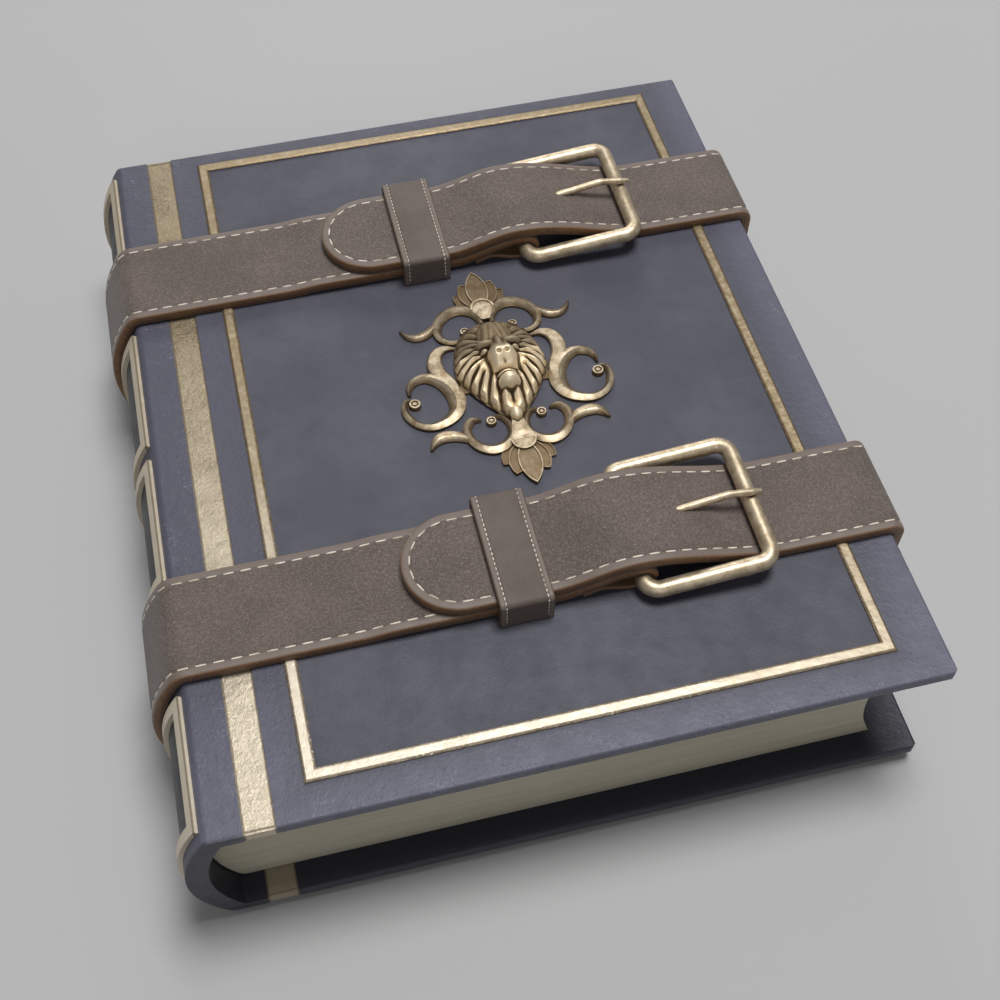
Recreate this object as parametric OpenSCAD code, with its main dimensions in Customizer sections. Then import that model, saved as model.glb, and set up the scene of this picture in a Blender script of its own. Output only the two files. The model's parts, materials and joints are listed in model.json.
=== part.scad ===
// Antique leather book held shut by two buckled straps, with gilt bands and a cast lion mount.
// It lies on its back cover: +X runs from the spine to the fore-edge, +Y from tail to head, +Z up.
// The origin is under the middle of the book, on the surface that the straps rest on.

/* [Book] */
// Height of the covers, tail to head
book_h = 300; // [292:1:320]
// Width from the outermost spine to the fore-edge
book_w = 251; // [246:1:270]
// Thickness over both covers
book_t = 59.8; // [57:0.2:64]
// Thickness of one leather-covered board
board_t = 4.6; // [4:0.1:5.4]
// Rounding of the board edges
edge_r = 1; // [0.6:0.1:1.2]
// Rounding of the boards' corners at the fore-edge
corner_r = 2.5; // [1.5:0.5:4]

/* [Spine] */
// Radius of the rounded spine
spine_r = 48; // [46:1:60]
// Wall of the spine
spine_wall = 7.4; // [6:0.1:8.5]
// Rounding where the spine turns into the covers
shoulder_r = 3; // [2.5:0.1:5]
// Outermost spine to the joint with the covers
joint_in = 21.9; // [20:0.1:24]
// How far the spine's flat lies below the board's face
joint_sink = 0.5; // [0.3:0.1:0.8]

/* [Pages] */
// Board past the pages at head and tail
square_ends = 10; // [6:0.5:14]
// Board past the pages at the fore-edge
square_fore = 14.5; // [10:0.5:18]
// Depth of the hollow fore-edge
fore_hollow = 6.1; // [4:0.1:8]
// Rounding of the pages' back corners
page_r = 3.5; // [2.5:0.5:5]
// Room between the pages and the spine
back_room = 0.6; // [0.4:0.1:0.9]

/* [Gilt band] */
// Width of the gilt band round each board
band_w = 10.1; // [8:0.1:12]
// Thickness of the gilt band
band_t = 0.5; // [0.4:0.1:0.7]
// How far the band lies below the board's face
band_sink = 0.8; // [0.6:0.1:1]
// How far the band lies inside the board's ends and inner face
band_inset = 0.2; // [0.1:0.1:0.3]

/* [Gilt frame] */
// Spine to the frame
frame_spine = 42.3; // [40:0.1:48]
// Fore-edge to the frame
frame_fore = 16.4; // [12:0.1:20]
// Tail to the frame
frame_tail = 11.9; // [8:0.1:16]
// Head to the frame
frame_head = 7; // [6:0.1:12]
// Width of the frame's rail
rail_w = 4.3; // [3.5:0.1:5]
// Height of the frame's rail
rail_h = 0.9; // [0.7:0.1:1.2]
// Width of the rail's bevel
rail_bevel = 0.8; // [0.5:0.1:1.2]

/* [Spine frames] */
// End of the spine to the first frame
panel_end = 5; // [4:0.1:8]
// Gap between the two middle frames
panel_gap = 6.3; // [5:0.1:9]
// Room between a strap and the frames beside it
panel_room = 3; // [2:0.1:5]
// Width of the raised rail
panel_rail_w = 3.8; // [3:0.1:4.5]
// Height of the raised rail
panel_rail_h = 1.7; // [1.2:0.1:2.2]

/* [Straps] */
// Width of a strap
strap_w = 38; // [34:0.5:42]
// Thickness of a strap
strap_t = 4.2; // [3.6:0.1:4.6]
// Distance between the two straps' middles
strap_pitch = 155.6; // [145:0.1:160]
// Middle of the pair of straps past the book's middle, towards the head
strap_shift = 1.1; // [-2:0.1:3]
// Room between leather and what it lies on
seat = 0.15; // [0.1:0.01:0.2]
// Inside radius of a strap's turn at the fore-edge
turn_r = 1.2; // [1:0.1:2]
// Fore-edge to the strap's round tip
tip_from_fore = 166; // [162:0.5:172]
// Thickness of the strap over the buckle's bar
loop_t = 3.2; // [2.8:0.1:3.4]
// Thickness of the strap's folded-back end
fold_t = 1.5; // [1.2:0.1:1.7]
// Length of the folded-back end, left of the bar
fold_len = 20; // [18:0.5:22]

/* [Buckles] */
// Radius of the buckle's wire
wire_r = 2.85; // [2.5:0.05:3]
// Length of a buckle, bar to bar
buckle_l = 43.4; // [42:0.1:47]
// Width of a buckle, middle to middle of its sides
buckle_w = 49.5; // [47:0.5:54]
// Radius of the buckle's corners, at the wire's middle
buckle_corner = 5; // [4:0.1:7]
// Fore-edge to the bar in the strap's fold
bar_from_fore = 89; // [88:0.1:91]
// Rise of the free bar over the hinge bar
buckle_rise = 3.9; // [3.6:0.1:4.4]
// Buckle's middle past the strap's middle, towards the head
buckle_shift = 0.8; // [0:0.1:1.5]

/* [Prongs] */
// Radius of a prong
prong_r = 1.35; // [1.1:0.05:1.5]
// Width of the prong's eye on the bar
eye_w = 5.2; // [4.5:0.1:6]
// Wall of the prong's eye
eye_t = 1.7; // [1.4:0.1:1.8]
// Clearance of the eye on the bar
eye_fit = 0.08; // [0.05:0.01:0.1]
// Reach of the prong past the free bar
prong_reach = 3.4; // [3:0.1:6]
// Free bar to the prong's bend
prong_bend = 8.2; // [6:0.1:10]

/* [Keepers] */
// Width of a keeper, along the strap
keeper_w = 18.3; // [15:0.1:20]
// Thickness of the keeper's top and sides
keeper_t = 2.5; // [2:0.1:3]
// Thickness of the keeper's pared underside
keeper_under = 0.8; // [0.7:0.05:0.9]
// Room between the keeper and the strap's layers
keeper_room = 0.3; // [0.2:0.05:0.4]
// Room between the keeper's sides and the strap's edges
keeper_side = 1.1; // [0.7:0.1:1.5]
// Keeper's middle past the strap's middle, towards the head
keeper_shift = -0.5; // [-0.5:0.1:0.5]
// Fore-edge to the keeper's middle
keeper_from_fore = 129.2; // [128.2:0.1:134]

/* [Lion mount] */
// Width of the whole mount
mount_w = 80; // [70:1:84]
// Height of the scrolls over the cover
scroll_h = 2.4; // [1.8:0.1:3]
// Height of the palmettes over the cover
leaf_h = 1.7; // [1.2:0.1:2]
// Height of the lion's head over the cover
lion_h = 16; // [13:0.5:17]

/* [Hidden] */

leather_blue = "#5c5e6c";
leather_brown = "#786c64";
leather_keeper = "#736962";
gilt = "#b9aa82";
brass = "#afa57d";
paper = "#b9b39c";

// Cuts reach this far past what they cut
over = 1;
z_back = strap_t + seat;
z_front = z_back + book_t;
z_mid = z_back + book_t / 2;
x_spine = -book_w / 2;
x_fore = book_w / 2;
x_joint = x_spine + joint_in;
x_frame = x_spine + frame_spine;
half_s = book_t / 2 - joint_sink;
arc_x = x_spine + spine_r;
shoulder_z = half_s - shoulder_r;
shoulder_a = asin(shoulder_z / (spine_r - shoulder_r));
inner_half = book_t / 2 - board_t;
y_strap = [strap_shift + strap_pitch / 2, strap_shift - strap_pitch / 2];

// One point of an arc in the plane of the drawing
function on_arc(cx, cz, r, a) = [cx + r * cos(a), cz + r * sin(a)];
// Share of a smooth rise from 0 to 1
function ease(s) = (1 - cos(180 * min(max(s, 0), 1))) / 2;
function mix(a, b, s) = a + (b - a) * s;

// Stands a drawing of the book's side view up, w wide about the middle y
module side_view(y, w) {
    translate([0, y + w / 2, 0])
        rotate([90, 0, 0])
            linear_extrude(w)
                children();
}

// Back of a book in the side view: an arc of radius r about x, at most h to either side of the
// middle, its two corners rounded by c, filled as far as x_far
module round_back(x, r, h, c, x_far) {
    a = asin((h - c) / (r - c));
    x_c = x - (r - c) * cos(a);
    translate([0, z_mid])
        intersection() {
            translate([x - 2 * r, -h])
                square([x_far - x + 2 * r, 2 * h]);
            union() {
                intersection() {
                    translate([x, 0])
                        circle(r, $fn = 96);
                    polygon([[x, 0], [x - 2 * r * cos(a), 2 * r * sin(a)],
                        [x - 2 * r * cos(a), -2 * r * sin(a)]]);
                }
                for (s = [-1, 1])
                    translate([x_c, s * (h - c)])
                        circle(c, $fn = 48);
                translate([x_c, -h])
                    square([x_far + c - x_c, 2 * h]);
                polygon([[x_c, h - c], [x, 0], [x_c, c - h]]);
            }
        }
}

module spine() {
    color(leather_blue)
        difference() {
            side_view(0, book_h)
                round_back(arc_x, spine_r, half_s, shoulder_r, x_joint);
            side_view(0, book_h + 2 * over)
                round_back(arc_x + spine_wall, spine_r, inner_half, 1.5, x_fore);
        }
}

// Board in the drawing of the side view, with rounded fore-edge corners
module board_section(z0) {
    reach = x_fore - x_joint;
    translate([x_joint, z0])
        square([reach - edge_r, board_t]);
    translate([x_joint, z0 + edge_r])
        square([reach, board_t - 2 * edge_r]);
    for (z = [edge_r, board_t - edge_r])
        translate([x_fore - edge_r, z0 + z])
            circle(edge_r, $fn = 32);
}

// Rabbet round the board's end for the gilt band, with the outer face at the side given by s
module band_rabbet(z0, s) {
    deep = band_sink + band_t;
    inner = band_inset + band_t;
    low = s > 0 ? inner : deep;
    high = s > 0 ? deep : inner;
    difference() {
        translate([x_joint - over, -book_h / 2 - over, z0 - over])
            cube([band_w + over, book_h + 2 * over, board_t + 2 * over]);
        translate([x_joint - 2 * over, -book_h / 2 + inner, z0 + low])
            cube([band_w + 3 * over, book_h - 2 * inner, board_t - low - high]);
    }
}

module board(z0, s) {
    difference() {
        intersection() {
            side_view(0, book_h)
                board_section(z0);
            translate([x_joint - over, 0, z0])
                rotate([90, 0, 90])
                    linear_extrude(book_w)
                        end_section();
            translate([0, 0, z0 - over])
                linear_extrude(board_t + 2 * over)
                    plan();
        }
        band_rabbet(z0, s);
    }
}

// Board seen from its end, with rounded edges at head and tail
module end_section() {
    translate([-book_h / 2 + edge_r, 0])
        square([book_h - 2 * edge_r, board_t]);
    translate([-book_h / 2, edge_r])
        square([book_h, board_t - 2 * edge_r]);
    for (y = [-1, 1], z = [edge_r, board_t - edge_r])
        translate([y * (book_h / 2 - edge_r), z])
            circle(edge_r, $fn = 32);
}

// Board from above, with rounded corners at the fore-edge
module plan() {
    translate([x_joint - over, -book_h / 2])
        square([x_fore - x_joint + over - corner_r, book_h]);
    translate([x_joint, corner_r - book_h / 2])
        square([x_fore - x_joint, book_h - 2 * corner_r]);
    for (y = [-1, 1])
        translate([x_fore - corner_r, y * (book_h / 2 - corner_r)])
            circle(corner_r, $fn = 48);
}

module front_cover() {
    color(leather_blue)
        board(z_front - board_t, 1);
}

module back_cover() {
    color(leather_blue)
        board(z_back, -1);
}

// Gilt leather band round the four sides of a board's end
module gilt_band(z0, s) {
    low = s > 0 ? band_inset : band_sink;
    high = s > 0 ? band_sink : band_inset;
    color(gilt)
        difference() {
            translate([x_joint, -book_h / 2 + band_inset, z0 + low])
                cube([band_w, book_h - 2 * band_inset, board_t - low - high]);
            translate([x_joint - over, -book_h / 2 + band_inset + band_t, z0 + low + band_t])
                cube([band_w + 2 * over, book_h - 2 * (band_inset + band_t),
                    board_t - low - high - 2 * band_t]);
        }
}

module front_gilt_band() {
    gilt_band(z_front - board_t, 1);
}

module back_gilt_band() {
    gilt_band(z_back, -1);
}

// Pages between the boards: round back and hollow fore-edge
module page_block() {
    x_edge = x_fore - square_fore;
    hollow_r = (pow(inner_half, 2) + pow(fore_hollow, 2)) / (2 * fore_hollow);
    color(paper)
        side_view(0, book_h - 2 * square_ends)
            difference() {
                round_back(arc_x + spine_wall + back_room, spine_r, inner_half, page_r, x_edge);
                translate([x_edge - fore_hollow + hollow_r, z_mid])
                    circle(hollow_r, $fn = 96);
                translate([x_edge, z_mid - inner_half - over])
                    square([book_w, 2 * (inner_half + over)]);
            }
}

// One bevelled rail of the gilt frame, as long as its outer edge, with mitred ends
module frame_rail(len) {
    intersection() {
        rotate([90, 0, 90])
            translate([0, 0, -len / 2])
                linear_extrude(len)
                    polygon([[0, 0], [rail_w, 0], [rail_w, rail_h / 2],
                        [rail_w - rail_bevel, rail_h], [rail_bevel, rail_h], [0, rail_h / 2]]);
        linear_extrude(rail_h + over)
            polygon([[-len / 2, 0], [len / 2, 0], [len / 2 - rail_w, rail_w],
                [rail_w - len / 2, rail_w]]);
    }
}

module front_gilt_frame() {
    w = x_fore - frame_fore - x_frame;
    h = book_h - frame_tail - frame_head;
    color(gilt)
        translate([x_frame + w / 2, frame_tail - book_h / 2 + h / 2, z_front])
            for (turn = [0, 90, 180, 270])
                rotate([0, 0, turn])
                    translate([0, -(turn % 180 == 0 ? h : w) / 2, 0])
                        frame_rail(turn % 180 == 0 ? w : h);
}

// Raised frame round the spine, between two places along Y
module spine_frame(y0, y1) {
    reach = panel_rail_w / (spine_r + panel_rail_h);
    far = 2 * spine_r;
    rail_a = shoulder_a - 0.6;
    open_a = rail_a - reach * 180 / PI;
    color(gilt)
        difference() {
            side_view((y0 + y1) / 2, y1 - y0)
                difference() {
                    intersection() {
                        translate([arc_x, z_mid])
                            circle(spine_r + panel_rail_h, $fn = 96);
                        polygon([[arc_x, z_mid],
                            [arc_x - far * cos(rail_a), z_mid + far * sin(rail_a)],
                            [arc_x - far * cos(rail_a), z_mid - far * sin(rail_a)]]);
                    }
                    translate([arc_x, z_mid])
                        circle(spine_r, $fn = 96);
                }
            side_view((y0 + y1) / 2, y1 - y0 - 2 * panel_rail_w)
                polygon([[arc_x, z_mid],
                    [arc_x - far * cos(open_a), z_mid + far * sin(open_a)],
                    [arc_x - far * cos(open_a), z_mid - far * sin(open_a)]]);
        }
}

y_channel = strap_w / 2 + panel_room;

module spine_frame_1() {
    spine_frame(y_strap[0] + y_channel, book_h / 2 - panel_end);
}

module spine_frame_2() {
    spine_frame(panel_gap / 2, y_strap[0] - y_channel);
}

module spine_frame_3() {
    spine_frame(y_strap[1] + y_channel, -panel_gap / 2);
}

module spine_frame_4() {
    spine_frame(panel_end - book_h / 2, y_strap[1] - y_channel);
}

// Strap route in the side view: [x, z, thickness] along the middle of the leather
x_bar = x_fore - bar_from_fore;
x_keeper = x_fore - keeper_from_fore;
x_tip = x_fore - tip_from_fore;
z_bar = z_front + fold_t + 2 * seat + wire_r;
loop_in = wire_r + seat;
hump_x = x_bar - 2.5;
z_flat = z_front + keeper_under + 2 * seat + strap_t / 2;
z_tip = z_flat + strap_t + seat;
z_hump = z_bar + loop_in + loop_t + 1.5 * seat + strap_t / 2;
keeper_end = x_keeper + keeper_w / 2 + 1.5;
rise_l = x_bar - 2 - keeper_end;
x_rise = x_bar + buckle_l + 9.5;

// Middle of the buckle end between the keeper and the bar
function buckle_end_s(x) = (x - keeper_end) / rise_l;
function buckle_end_t(x) = mix(strap_t, loop_t, ease(buckle_end_s(x)));
function buckle_end_z(x) = mix(z_flat, z_bar + loop_in + loop_t / 2, ease(buckle_end_s(x)));
// Middle of the tip end between the free bar and the hump, and from there to the keeper
function tip_end_z(x) = x > hump_x
    ? mix(z_hump, z_front + seat + strap_t / 2, ease((x - hump_x) / (x_rise - hump_x)))
    : mix(z_hump, z_tip, ease((hump_x - x) / (hump_x - keeper_end + 2)));

fold_end = x_bar - fold_len;
fold_rest = x_bar - 3;
fold_join = fold_end + 5.5;
function fold_low(x) = buckle_end_z(x) - (buckle_end_t(x) / 2 + fold_t / 2 + seat) * 1.06;
function fold_z(x) = x < fold_join ? fold_low(x)
    : mix(fold_low(fold_join), z_front + seat + fold_t / 2,
        ease((x - fold_join) / (fold_rest - fold_join)));

wrap_r = spine_r + 2 * seat + strap_t / 2;
wrap_shoulder = shoulder_r + 2 * seat + strap_t / 2;
wrap_z = book_t / 2 + seat + strap_t / 2 - wrap_shoulder;
wrap_x = arc_x - sqrt(pow(wrap_r - wrap_shoulder, 2) - pow(wrap_z, 2));
wrap_a = asin(wrap_z / (wrap_r - wrap_shoulder));
turn_mid = turn_r + strap_t / 2;
turn_x = x_fore + 2 * seat - turn_r;
// The raised stretch under the tip comes down to the cover over this length
settle_l = 14;
settle_x = x_tip - 3;

strap_route = concat(
    [for (x = [fold_end:1.5:fold_rest]) [x, fold_z(x), fold_t]],
    [for (a = [-90:12:90]) concat(on_arc(x_bar, z_bar,
        loop_in + mix(fold_t, loop_t, (a + 90) / 180) / 2, a),
        mix(fold_t, loop_t, (a + 90) / 180))],
    [for (s = [0.06:0.06:1]) let (x = x_bar - 2 - s * rise_l) [x, buckle_end_z(x), buckle_end_t(x)]],
    [for (s = [0:0.125:1]) [settle_x - s * settle_l,
        mix(z_flat, z_front + seat + strap_t / 2, ease(s)), strap_t]],
    [for (a = [90:10:180 - wrap_a]) concat(on_arc(wrap_x, z_mid + wrap_z, wrap_shoulder, a), strap_t)],
    [for (a = [180 - wrap_a:3:180 + wrap_a]) concat(on_arc(arc_x, z_mid, wrap_r, a), strap_t)],
    [for (a = [180 + wrap_a:10:270]) concat(on_arc(wrap_x, z_mid - wrap_z, wrap_shoulder, a), strap_t)],
    // The flat run under the book, straight to the end of both turns
    [for (x = [wrap_x, wrap_x + over, turn_x - over]) [x, strap_t / 2, strap_t]],
    [for (a = [-90:15:0]) concat(on_arc(turn_x, z_back - seat + turn_r, turn_mid, a), strap_t)],
    [for (a = [0:15:90]) concat(on_arc(turn_x, z_front + seat - turn_r, turn_mid, a), strap_t)],
    [for (s = [0:0.04:1]) let (x = mix(x_rise, hump_x, s)) [x, tip_end_z(x), strap_t]],
    [for (s = [0.08:0.08:1]) let (x = mix(hump_x, keeper_end - 2, s)) [x, tip_end_z(x), strap_t]],
    [[x_tip, z_tip, strap_t]]);

// Unit vector across a route at its point i
function across(route, i) =
    let (a = route[max(i - 1, 0)], b = route[min(i + 1, len(route) - 1)],
        dx = b[0] - a[0], dz = b[1] - a[1], l = sqrt(dx * dx + dz * dz))
    [-dz / l, dx / l];
function edge_of(route, side) = [for (i = [0:len(route) - 1])
    let (n = across(route, i), h = side * route[i][2] / 2)
    [route[i][0] + n[0] * h, route[i][1] + n[1] * h]];

module ribbon(route) {
    ahead = edge_of(route, 1);
    back = edge_of(route, -1);
    n = len(route);
    polygon(concat(ahead, [for (i = [0:n - 1]) back[n - 1 - i]]));
}

buckle_a = asin(buckle_rise / buckle_l);
x_free = x_bar + buckle_l * cos(buckle_a);
z_free = z_bar + buckle_rise;
x_bend = x_free - prong_bend;
prong_lift = wire_r + prong_r + seat;
// Bend radius of the prong, and downward slope of its end
elbow_r = 6;
prong_fall = 8;
z_bend = z_free + prong_lift / cos(prong_fall) + prong_bend * tan(prong_fall);
eye_r = wire_r + eye_fit + eye_t;
// The shaft leaves the eye at its top
prong_up = eye_r - prong_r - 0.05;
prong_far = sqrt(pow(x_bend - x_bar, 2) + pow(z_bend - z_bar, 2));
prong_len = sqrt(pow(prong_far, 2) - pow(prong_up, 2));
prong_a = atan2(z_bend - z_bar, x_bend - x_bar) - asin(prong_up / prong_far);

module strap(y) {
    round_r = strap_w / 2;
    y_prong = y + buckle_shift;
    z_split = z_tip - strap_t / 2 - seat / 2;
    color(leather_brown)
        difference() {
            side_view(y, strap_w)
                ribbon(strap_route);
            // Round tip
            translate([x_tip - over, y - strap_w / 2 - over, z_split])
                difference() {
                    cube([round_r + over, strap_w + 2 * over, strap_t + seat + over]);
                    translate([round_r + over, strap_w / 2 + over, -over])
                        cylinder(r = round_r, h = strap_t + 4 * over, $fn = 96);
                }
            // Slot in the fold for the prong's eye
            translate([x_bar, y_prong, z_bar])
                rotate([90, 0, 0])
                    cylinder(r = loop_in + loop_t + seat, h = eye_w + 4 * seat, center = true, $fn = 64);
            // Dents pressed into the leather by the gilt frame's rails
            for (x = [x_frame, x_fore - frame_fore - rail_w])
                translate([x - 2 * seat, y - strap_w / 2 - over, z_front - over])
                    cube([rail_w + 4 * seat, strap_w + 2 * over, rail_h + 2 * seat + over]);
            // Hole for the prong
            translate([x_bar, y_prong, z_bar])
                rotate([0, 90 - prong_a, 0])
                    translate([-prong_up, 0, 0])
                        cylinder(r = prong_r + seat, h = prong_len, $fn = 48);
        }
}

module upper_strap() {
    strap(y_strap[0]);
}

module lower_strap() {
    strap(y_strap[1]);
}

// Leather loop round both layers of a strap
module keeper(y) {
    inner_w = strap_w + 2 * keeper_side;
    z_in = z_front + seat + keeper_under;
    z_under_top = z_tip + strap_t / 2 + keeper_room;
    corner = 1.6;
    w = inner_w + 2 * keeper_t;
    h = z_under_top + keeper_t - z_front - seat;
    color(leather_keeper)
        translate([x_keeper - keeper_w / 2, y + keeper_shift, z_front + seat])
            rotate([90, 0, 90])
                linear_extrude(keeper_w)
                    difference() {
                        union() {
                            translate([-w / 2, 0])
                                square([w, h - corner]);
                            translate([corner - w / 2, 0])
                                square([w - 2 * corner, h]);
                            for (s = [-1, 1])
                                translate([s * (w / 2 - corner), h - corner])
                                    circle(corner, $fn = 32);
                        }
                        translate([-inner_w / 2, keeper_under])
                            square([inner_w, z_under_top - z_in]);
                    }
}

module upper_keeper() {
    keeper(y_strap[0]);
}

module lower_keeper() {
    keeper(y_strap[1]);
}

// Wire frame, hinged on the bar that lies along Y through the origin
module buckle(y) {
    half = buckle_w / 2 - buckle_corner;
    long = buckle_l - 2 * buckle_corner;
    color(brass)
        translate([x_bar, y + buckle_shift, z_bar])
            rotate([0, -buckle_a, 0])
                union() {
                    for (x = [0, buckle_l])
                        translate([x, 0, 0])
                            rotate([90, 0, 0])
                                cylinder(r = wire_r, h = 2 * half, center = true, $fn = 48);
                    for (s = [-1, 1]) {
                        translate([buckle_l / 2, s * buckle_w / 2, 0])
                            rotate([0, 90, 0])
                                cylinder(r = wire_r, h = long, center = true, $fn = 48);
                        for (x = [0, 1])
                            translate([buckle_corner + x * long, s * half, 0])
                                rotate([0, 0, s > 0 ? 90 - 90 * x : 180 + 90 * x])
                                    rotate_extrude(angle = 90, $fn = 64)
                                        translate([buckle_corner, 0])
                                            circle(wire_r, $fn = 48);
                    }
                }
}

module upper_buckle() {
    buckle(y_strap[0]);
}

module lower_buckle() {
    buckle(y_strap[1]);
}

// Prong: an eye on the bar, a shaft up through the strap, and a bent end over the free bar
module prong(y) {
    turn = prong_a + prong_fall;
    tangent = elbow_r * tan(turn / 2);
    end_l = (prong_bend + prong_reach) / cos(prong_fall) - tangent;
    color(brass)
        translate([x_bar, y + buckle_shift, z_bar])
            difference() {
                union() {
                    rotate([90, 0, 0])
                        cylinder(r = eye_r, h = eye_w, center = true, $fn = 64);
                    rotate([0, 90 - prong_a, 0])
                        translate([-prong_up, 0, 0]) {
                            cylinder(r = prong_r, h = prong_len - tangent + 0.1, $fn = 48);
                            translate([0, 0, prong_len - tangent])
                                rotate([90, 0, 180])
                                    prong_end(turn, end_l);
                        }
                }
                rotate([90, 0, 0])
                    cylinder(r = wire_r + eye_fit, h = eye_w + 2 * over, center = true, $fn = 64);
            }
}

// Elbow and tapered end, drawn with the shaft coming up along Y and turning towards -X
module prong_end(turn, end_l) {
    taper = 3.4;
    translate([-elbow_r, 0, 0])
        rotate_extrude(angle = turn, $fn = 64)
            translate([elbow_r, 0])
                circle(prong_r * 0.97, $fn = 48);
    translate([-elbow_r, 0, 0])
        rotate([0, 0, turn])
            translate([elbow_r, 0, 0])
                rotate([-90, 0, 0])
                    rotate_extrude($fn = 48)
                        polygon([[0, -0.1], [prong_r * 0.94, -0.1], [prong_r * 0.94, end_l - taper],
                            [prong_r * 0.62, end_l], [prong_r * 0.3, end_l + 0.4], [0, end_l + 0.4]]);
}

module upper_prong() {
    prong(y_strap[0]);
}

module lower_prong() {
    prong(y_strap[1]);
}

// Lion mount: drawn 80 wide about its own middle, then scaled to its width
mount_k = mount_w / 80;
plate_t = 0.9;
// Depth of the hollows in the leaves and in the snails, and rise of the shell at the leaves' foot
leaf_hollow = 0.26 * leaf_h;
snail_hollow = 0.21 * scroll_h;
shell_rise = 0.35 * leaf_h;
mount_x = (x_frame + x_fore - frame_fore) / 2 + 0.3;
mount_y = (frame_tail - frame_head) / 2 + 1.8;

// Scrolls as [distance from the middle line, height on the cover, width of the stroke]
upper_curl = [[2.6, 23, 2], [2.4, 27, 2.4], [4.2, 31, 3.4], [8.2, 33.6, 4.4], [12.8, 33.2, 4.4],
    [17, 30.3, 4], [19.2, 26, 3.6], [18.8, 21.6, 3], [16, 18.8, 2.5], [12.8, 18.4, 2], [10.6, 20.1, 1.8],
    [9.6, 21.7, 1.4]];
upper_tail = [[18, 29.6, 2.2], [21, 26.6, 3.2], [24.4, 24.3, 3.6], [28.2, 24, 3], [31.2, 26, 2],
    [32.8, 28.6, 0.9]];
side_hook = [[14.6, 15.4, 0.9], [18.4, 16, 3], [22, 13.8, 4.8], [23.6, 9, 5.8], [22.4, 3.8, 5.6],
    [19.8, -1.5, 5.6], [19, -6, 4]];
side_curl = [[35.4, -3, 0.9], [35, 0.4, 2.3], [32.6, 3.1, 3.2], [28.6, 3.9, 3.8], [24, 1.6, 5],
    [20.4, -3.2, 6.2], [19.1, -8.6, 6.6], [20.4, -13.8, 5.6], [24.4, -17.4, 4.4], [30, -18.8, 3.5],
    [35.2, -16.4, 3.1], [38.1, -11.4, 3], [38.1, -6.8, 2.4], [36.4, -5.3, 2],
    [35, -6.4, 1.4]];
lower_curl = [[12.7, -19.9, 0.9], [15.8, -19.3, 2.8], [18.3, -22.2, 3.2], [18.3, -26.8, 3.4],
    [15.6, -31.4, 3.8], [11, -33.6, 4.4], [6.4, -32.4, 4], [3.3, -28.4, 3], [3.2, -23.6, 2.4],
    [5.4, -20, 2], [7.6, -19.5, 1.6], [9.2, -21, 1.4]];
lower_tail = [[16.6, -29.4, 2.4], [20, -26.4, 3.4], [24, -24.6, 4.2], [28.2, -24.4, 4.4],
    [31, -26.2, 3], [32.8, -29, 0.9]];
// Snail ends as [distance from the middle line, height on the cover, radius]
snails = [[9.2, 22.2, 1.9], [34.4, -7.5, 2.3], [9.3, -21.4, 2]];
// Leaves as [lean from upright, reach, width]
leaves = [[0, 19.5, 8.4], [23.2, 15.4, 8.2], [46.5, 13.2, 7.4]];
leaf_foot = [0, 32, 0];

// Curve through hand-set points
function spline(p, i, t) =
    let (a = p[max(i - 1, 0)], b = p[i], c = p[i + 1], d = p[min(i + 2, len(p) - 1)])
    0.5 * (2 * b + (c - a) * t + (2 * a - 5 * b + 4 * c - d) * t * t + (3 * b - a - 3 * c + d) * t * t * t);
function smooth(p, n) = concat([for (i = [0:len(p) - 2], k = [0:n - 1]) spline(p, i, k / n)],
    [p[len(p) - 1]]);

// Cross-sections of a stroke, from its left edge to its right, as [share of the width, share of the
// height]: a curl falls off steeply on its hollow side, a tail has its ridge low, a hook is flat
curl_section = [[0.5, 0], [0.5, 0.6], [-0.04, 1], [-0.12, 0.8], [-0.5, 0.35], [-0.5, 0]];
tail_section = [[0.5, 0], [0.5, 0.6], [-0.08, 1], [-0.16, 0.95], [-0.5, 0.4], [-0.5, 0]];
hook_section = [[0.5, 0], [0.5, 0.6], [0.37, 0.85], [-0.37, 0.85], [-0.5, 0.6], [-0.5, 0]];
function flipped(section) = [for (i = [len(section) - 1:-1:0]) [-section[i][0], section[i][1]]];

// Stroke along a curve of [x, y, width]
module stroke(points, h, section) {
    route = smooth(points, 4);
    n = len(route);
    m = len(section);
    rings = [for (i = [0:n - 1])
        let (c = across(route, i), w = route[i][2], top = min(h, h * (0.55 + 0.12 * w)))
        [for (s = section) [route[i][0] + c[0] * w * s[0], route[i][1] + c[1] * w * s[0], top * s[1]]]];
    faces = concat(
        [for (i = [0:n - 2], k = [0:m - 1]) let (a = m * i + k, b = m * i + (k + 1) % m)
            [a, b + m, b]],
        [for (i = [0:n - 2], k = [0:m - 1]) let (a = m * i + k, b = m * i + (k + 1) % m)
            [a, a + m, b + m]],
        [[for (k = [0:m - 1]) k]],
        [[for (k = [m - 1:-1:0]) m * (n - 1) + k]]);
    polyhedron([for (r = rings, q = r) q], faces);
}

// Outline of a pointed leaf, drawn in by inset
module leaf_plan(leaf, inset) {
    r = (pow(leaf[1], 2) / 4 + pow(leaf[2] / 2, 2)) / leaf[2];
    rotate([0, 0, leaf[0]])
        intersection_for(s = [-1, 1])
            translate([s * (r - leaf[2] / 2), leaf[1] / 2])
                circle(r - inset, $fn = 72);
}

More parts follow.
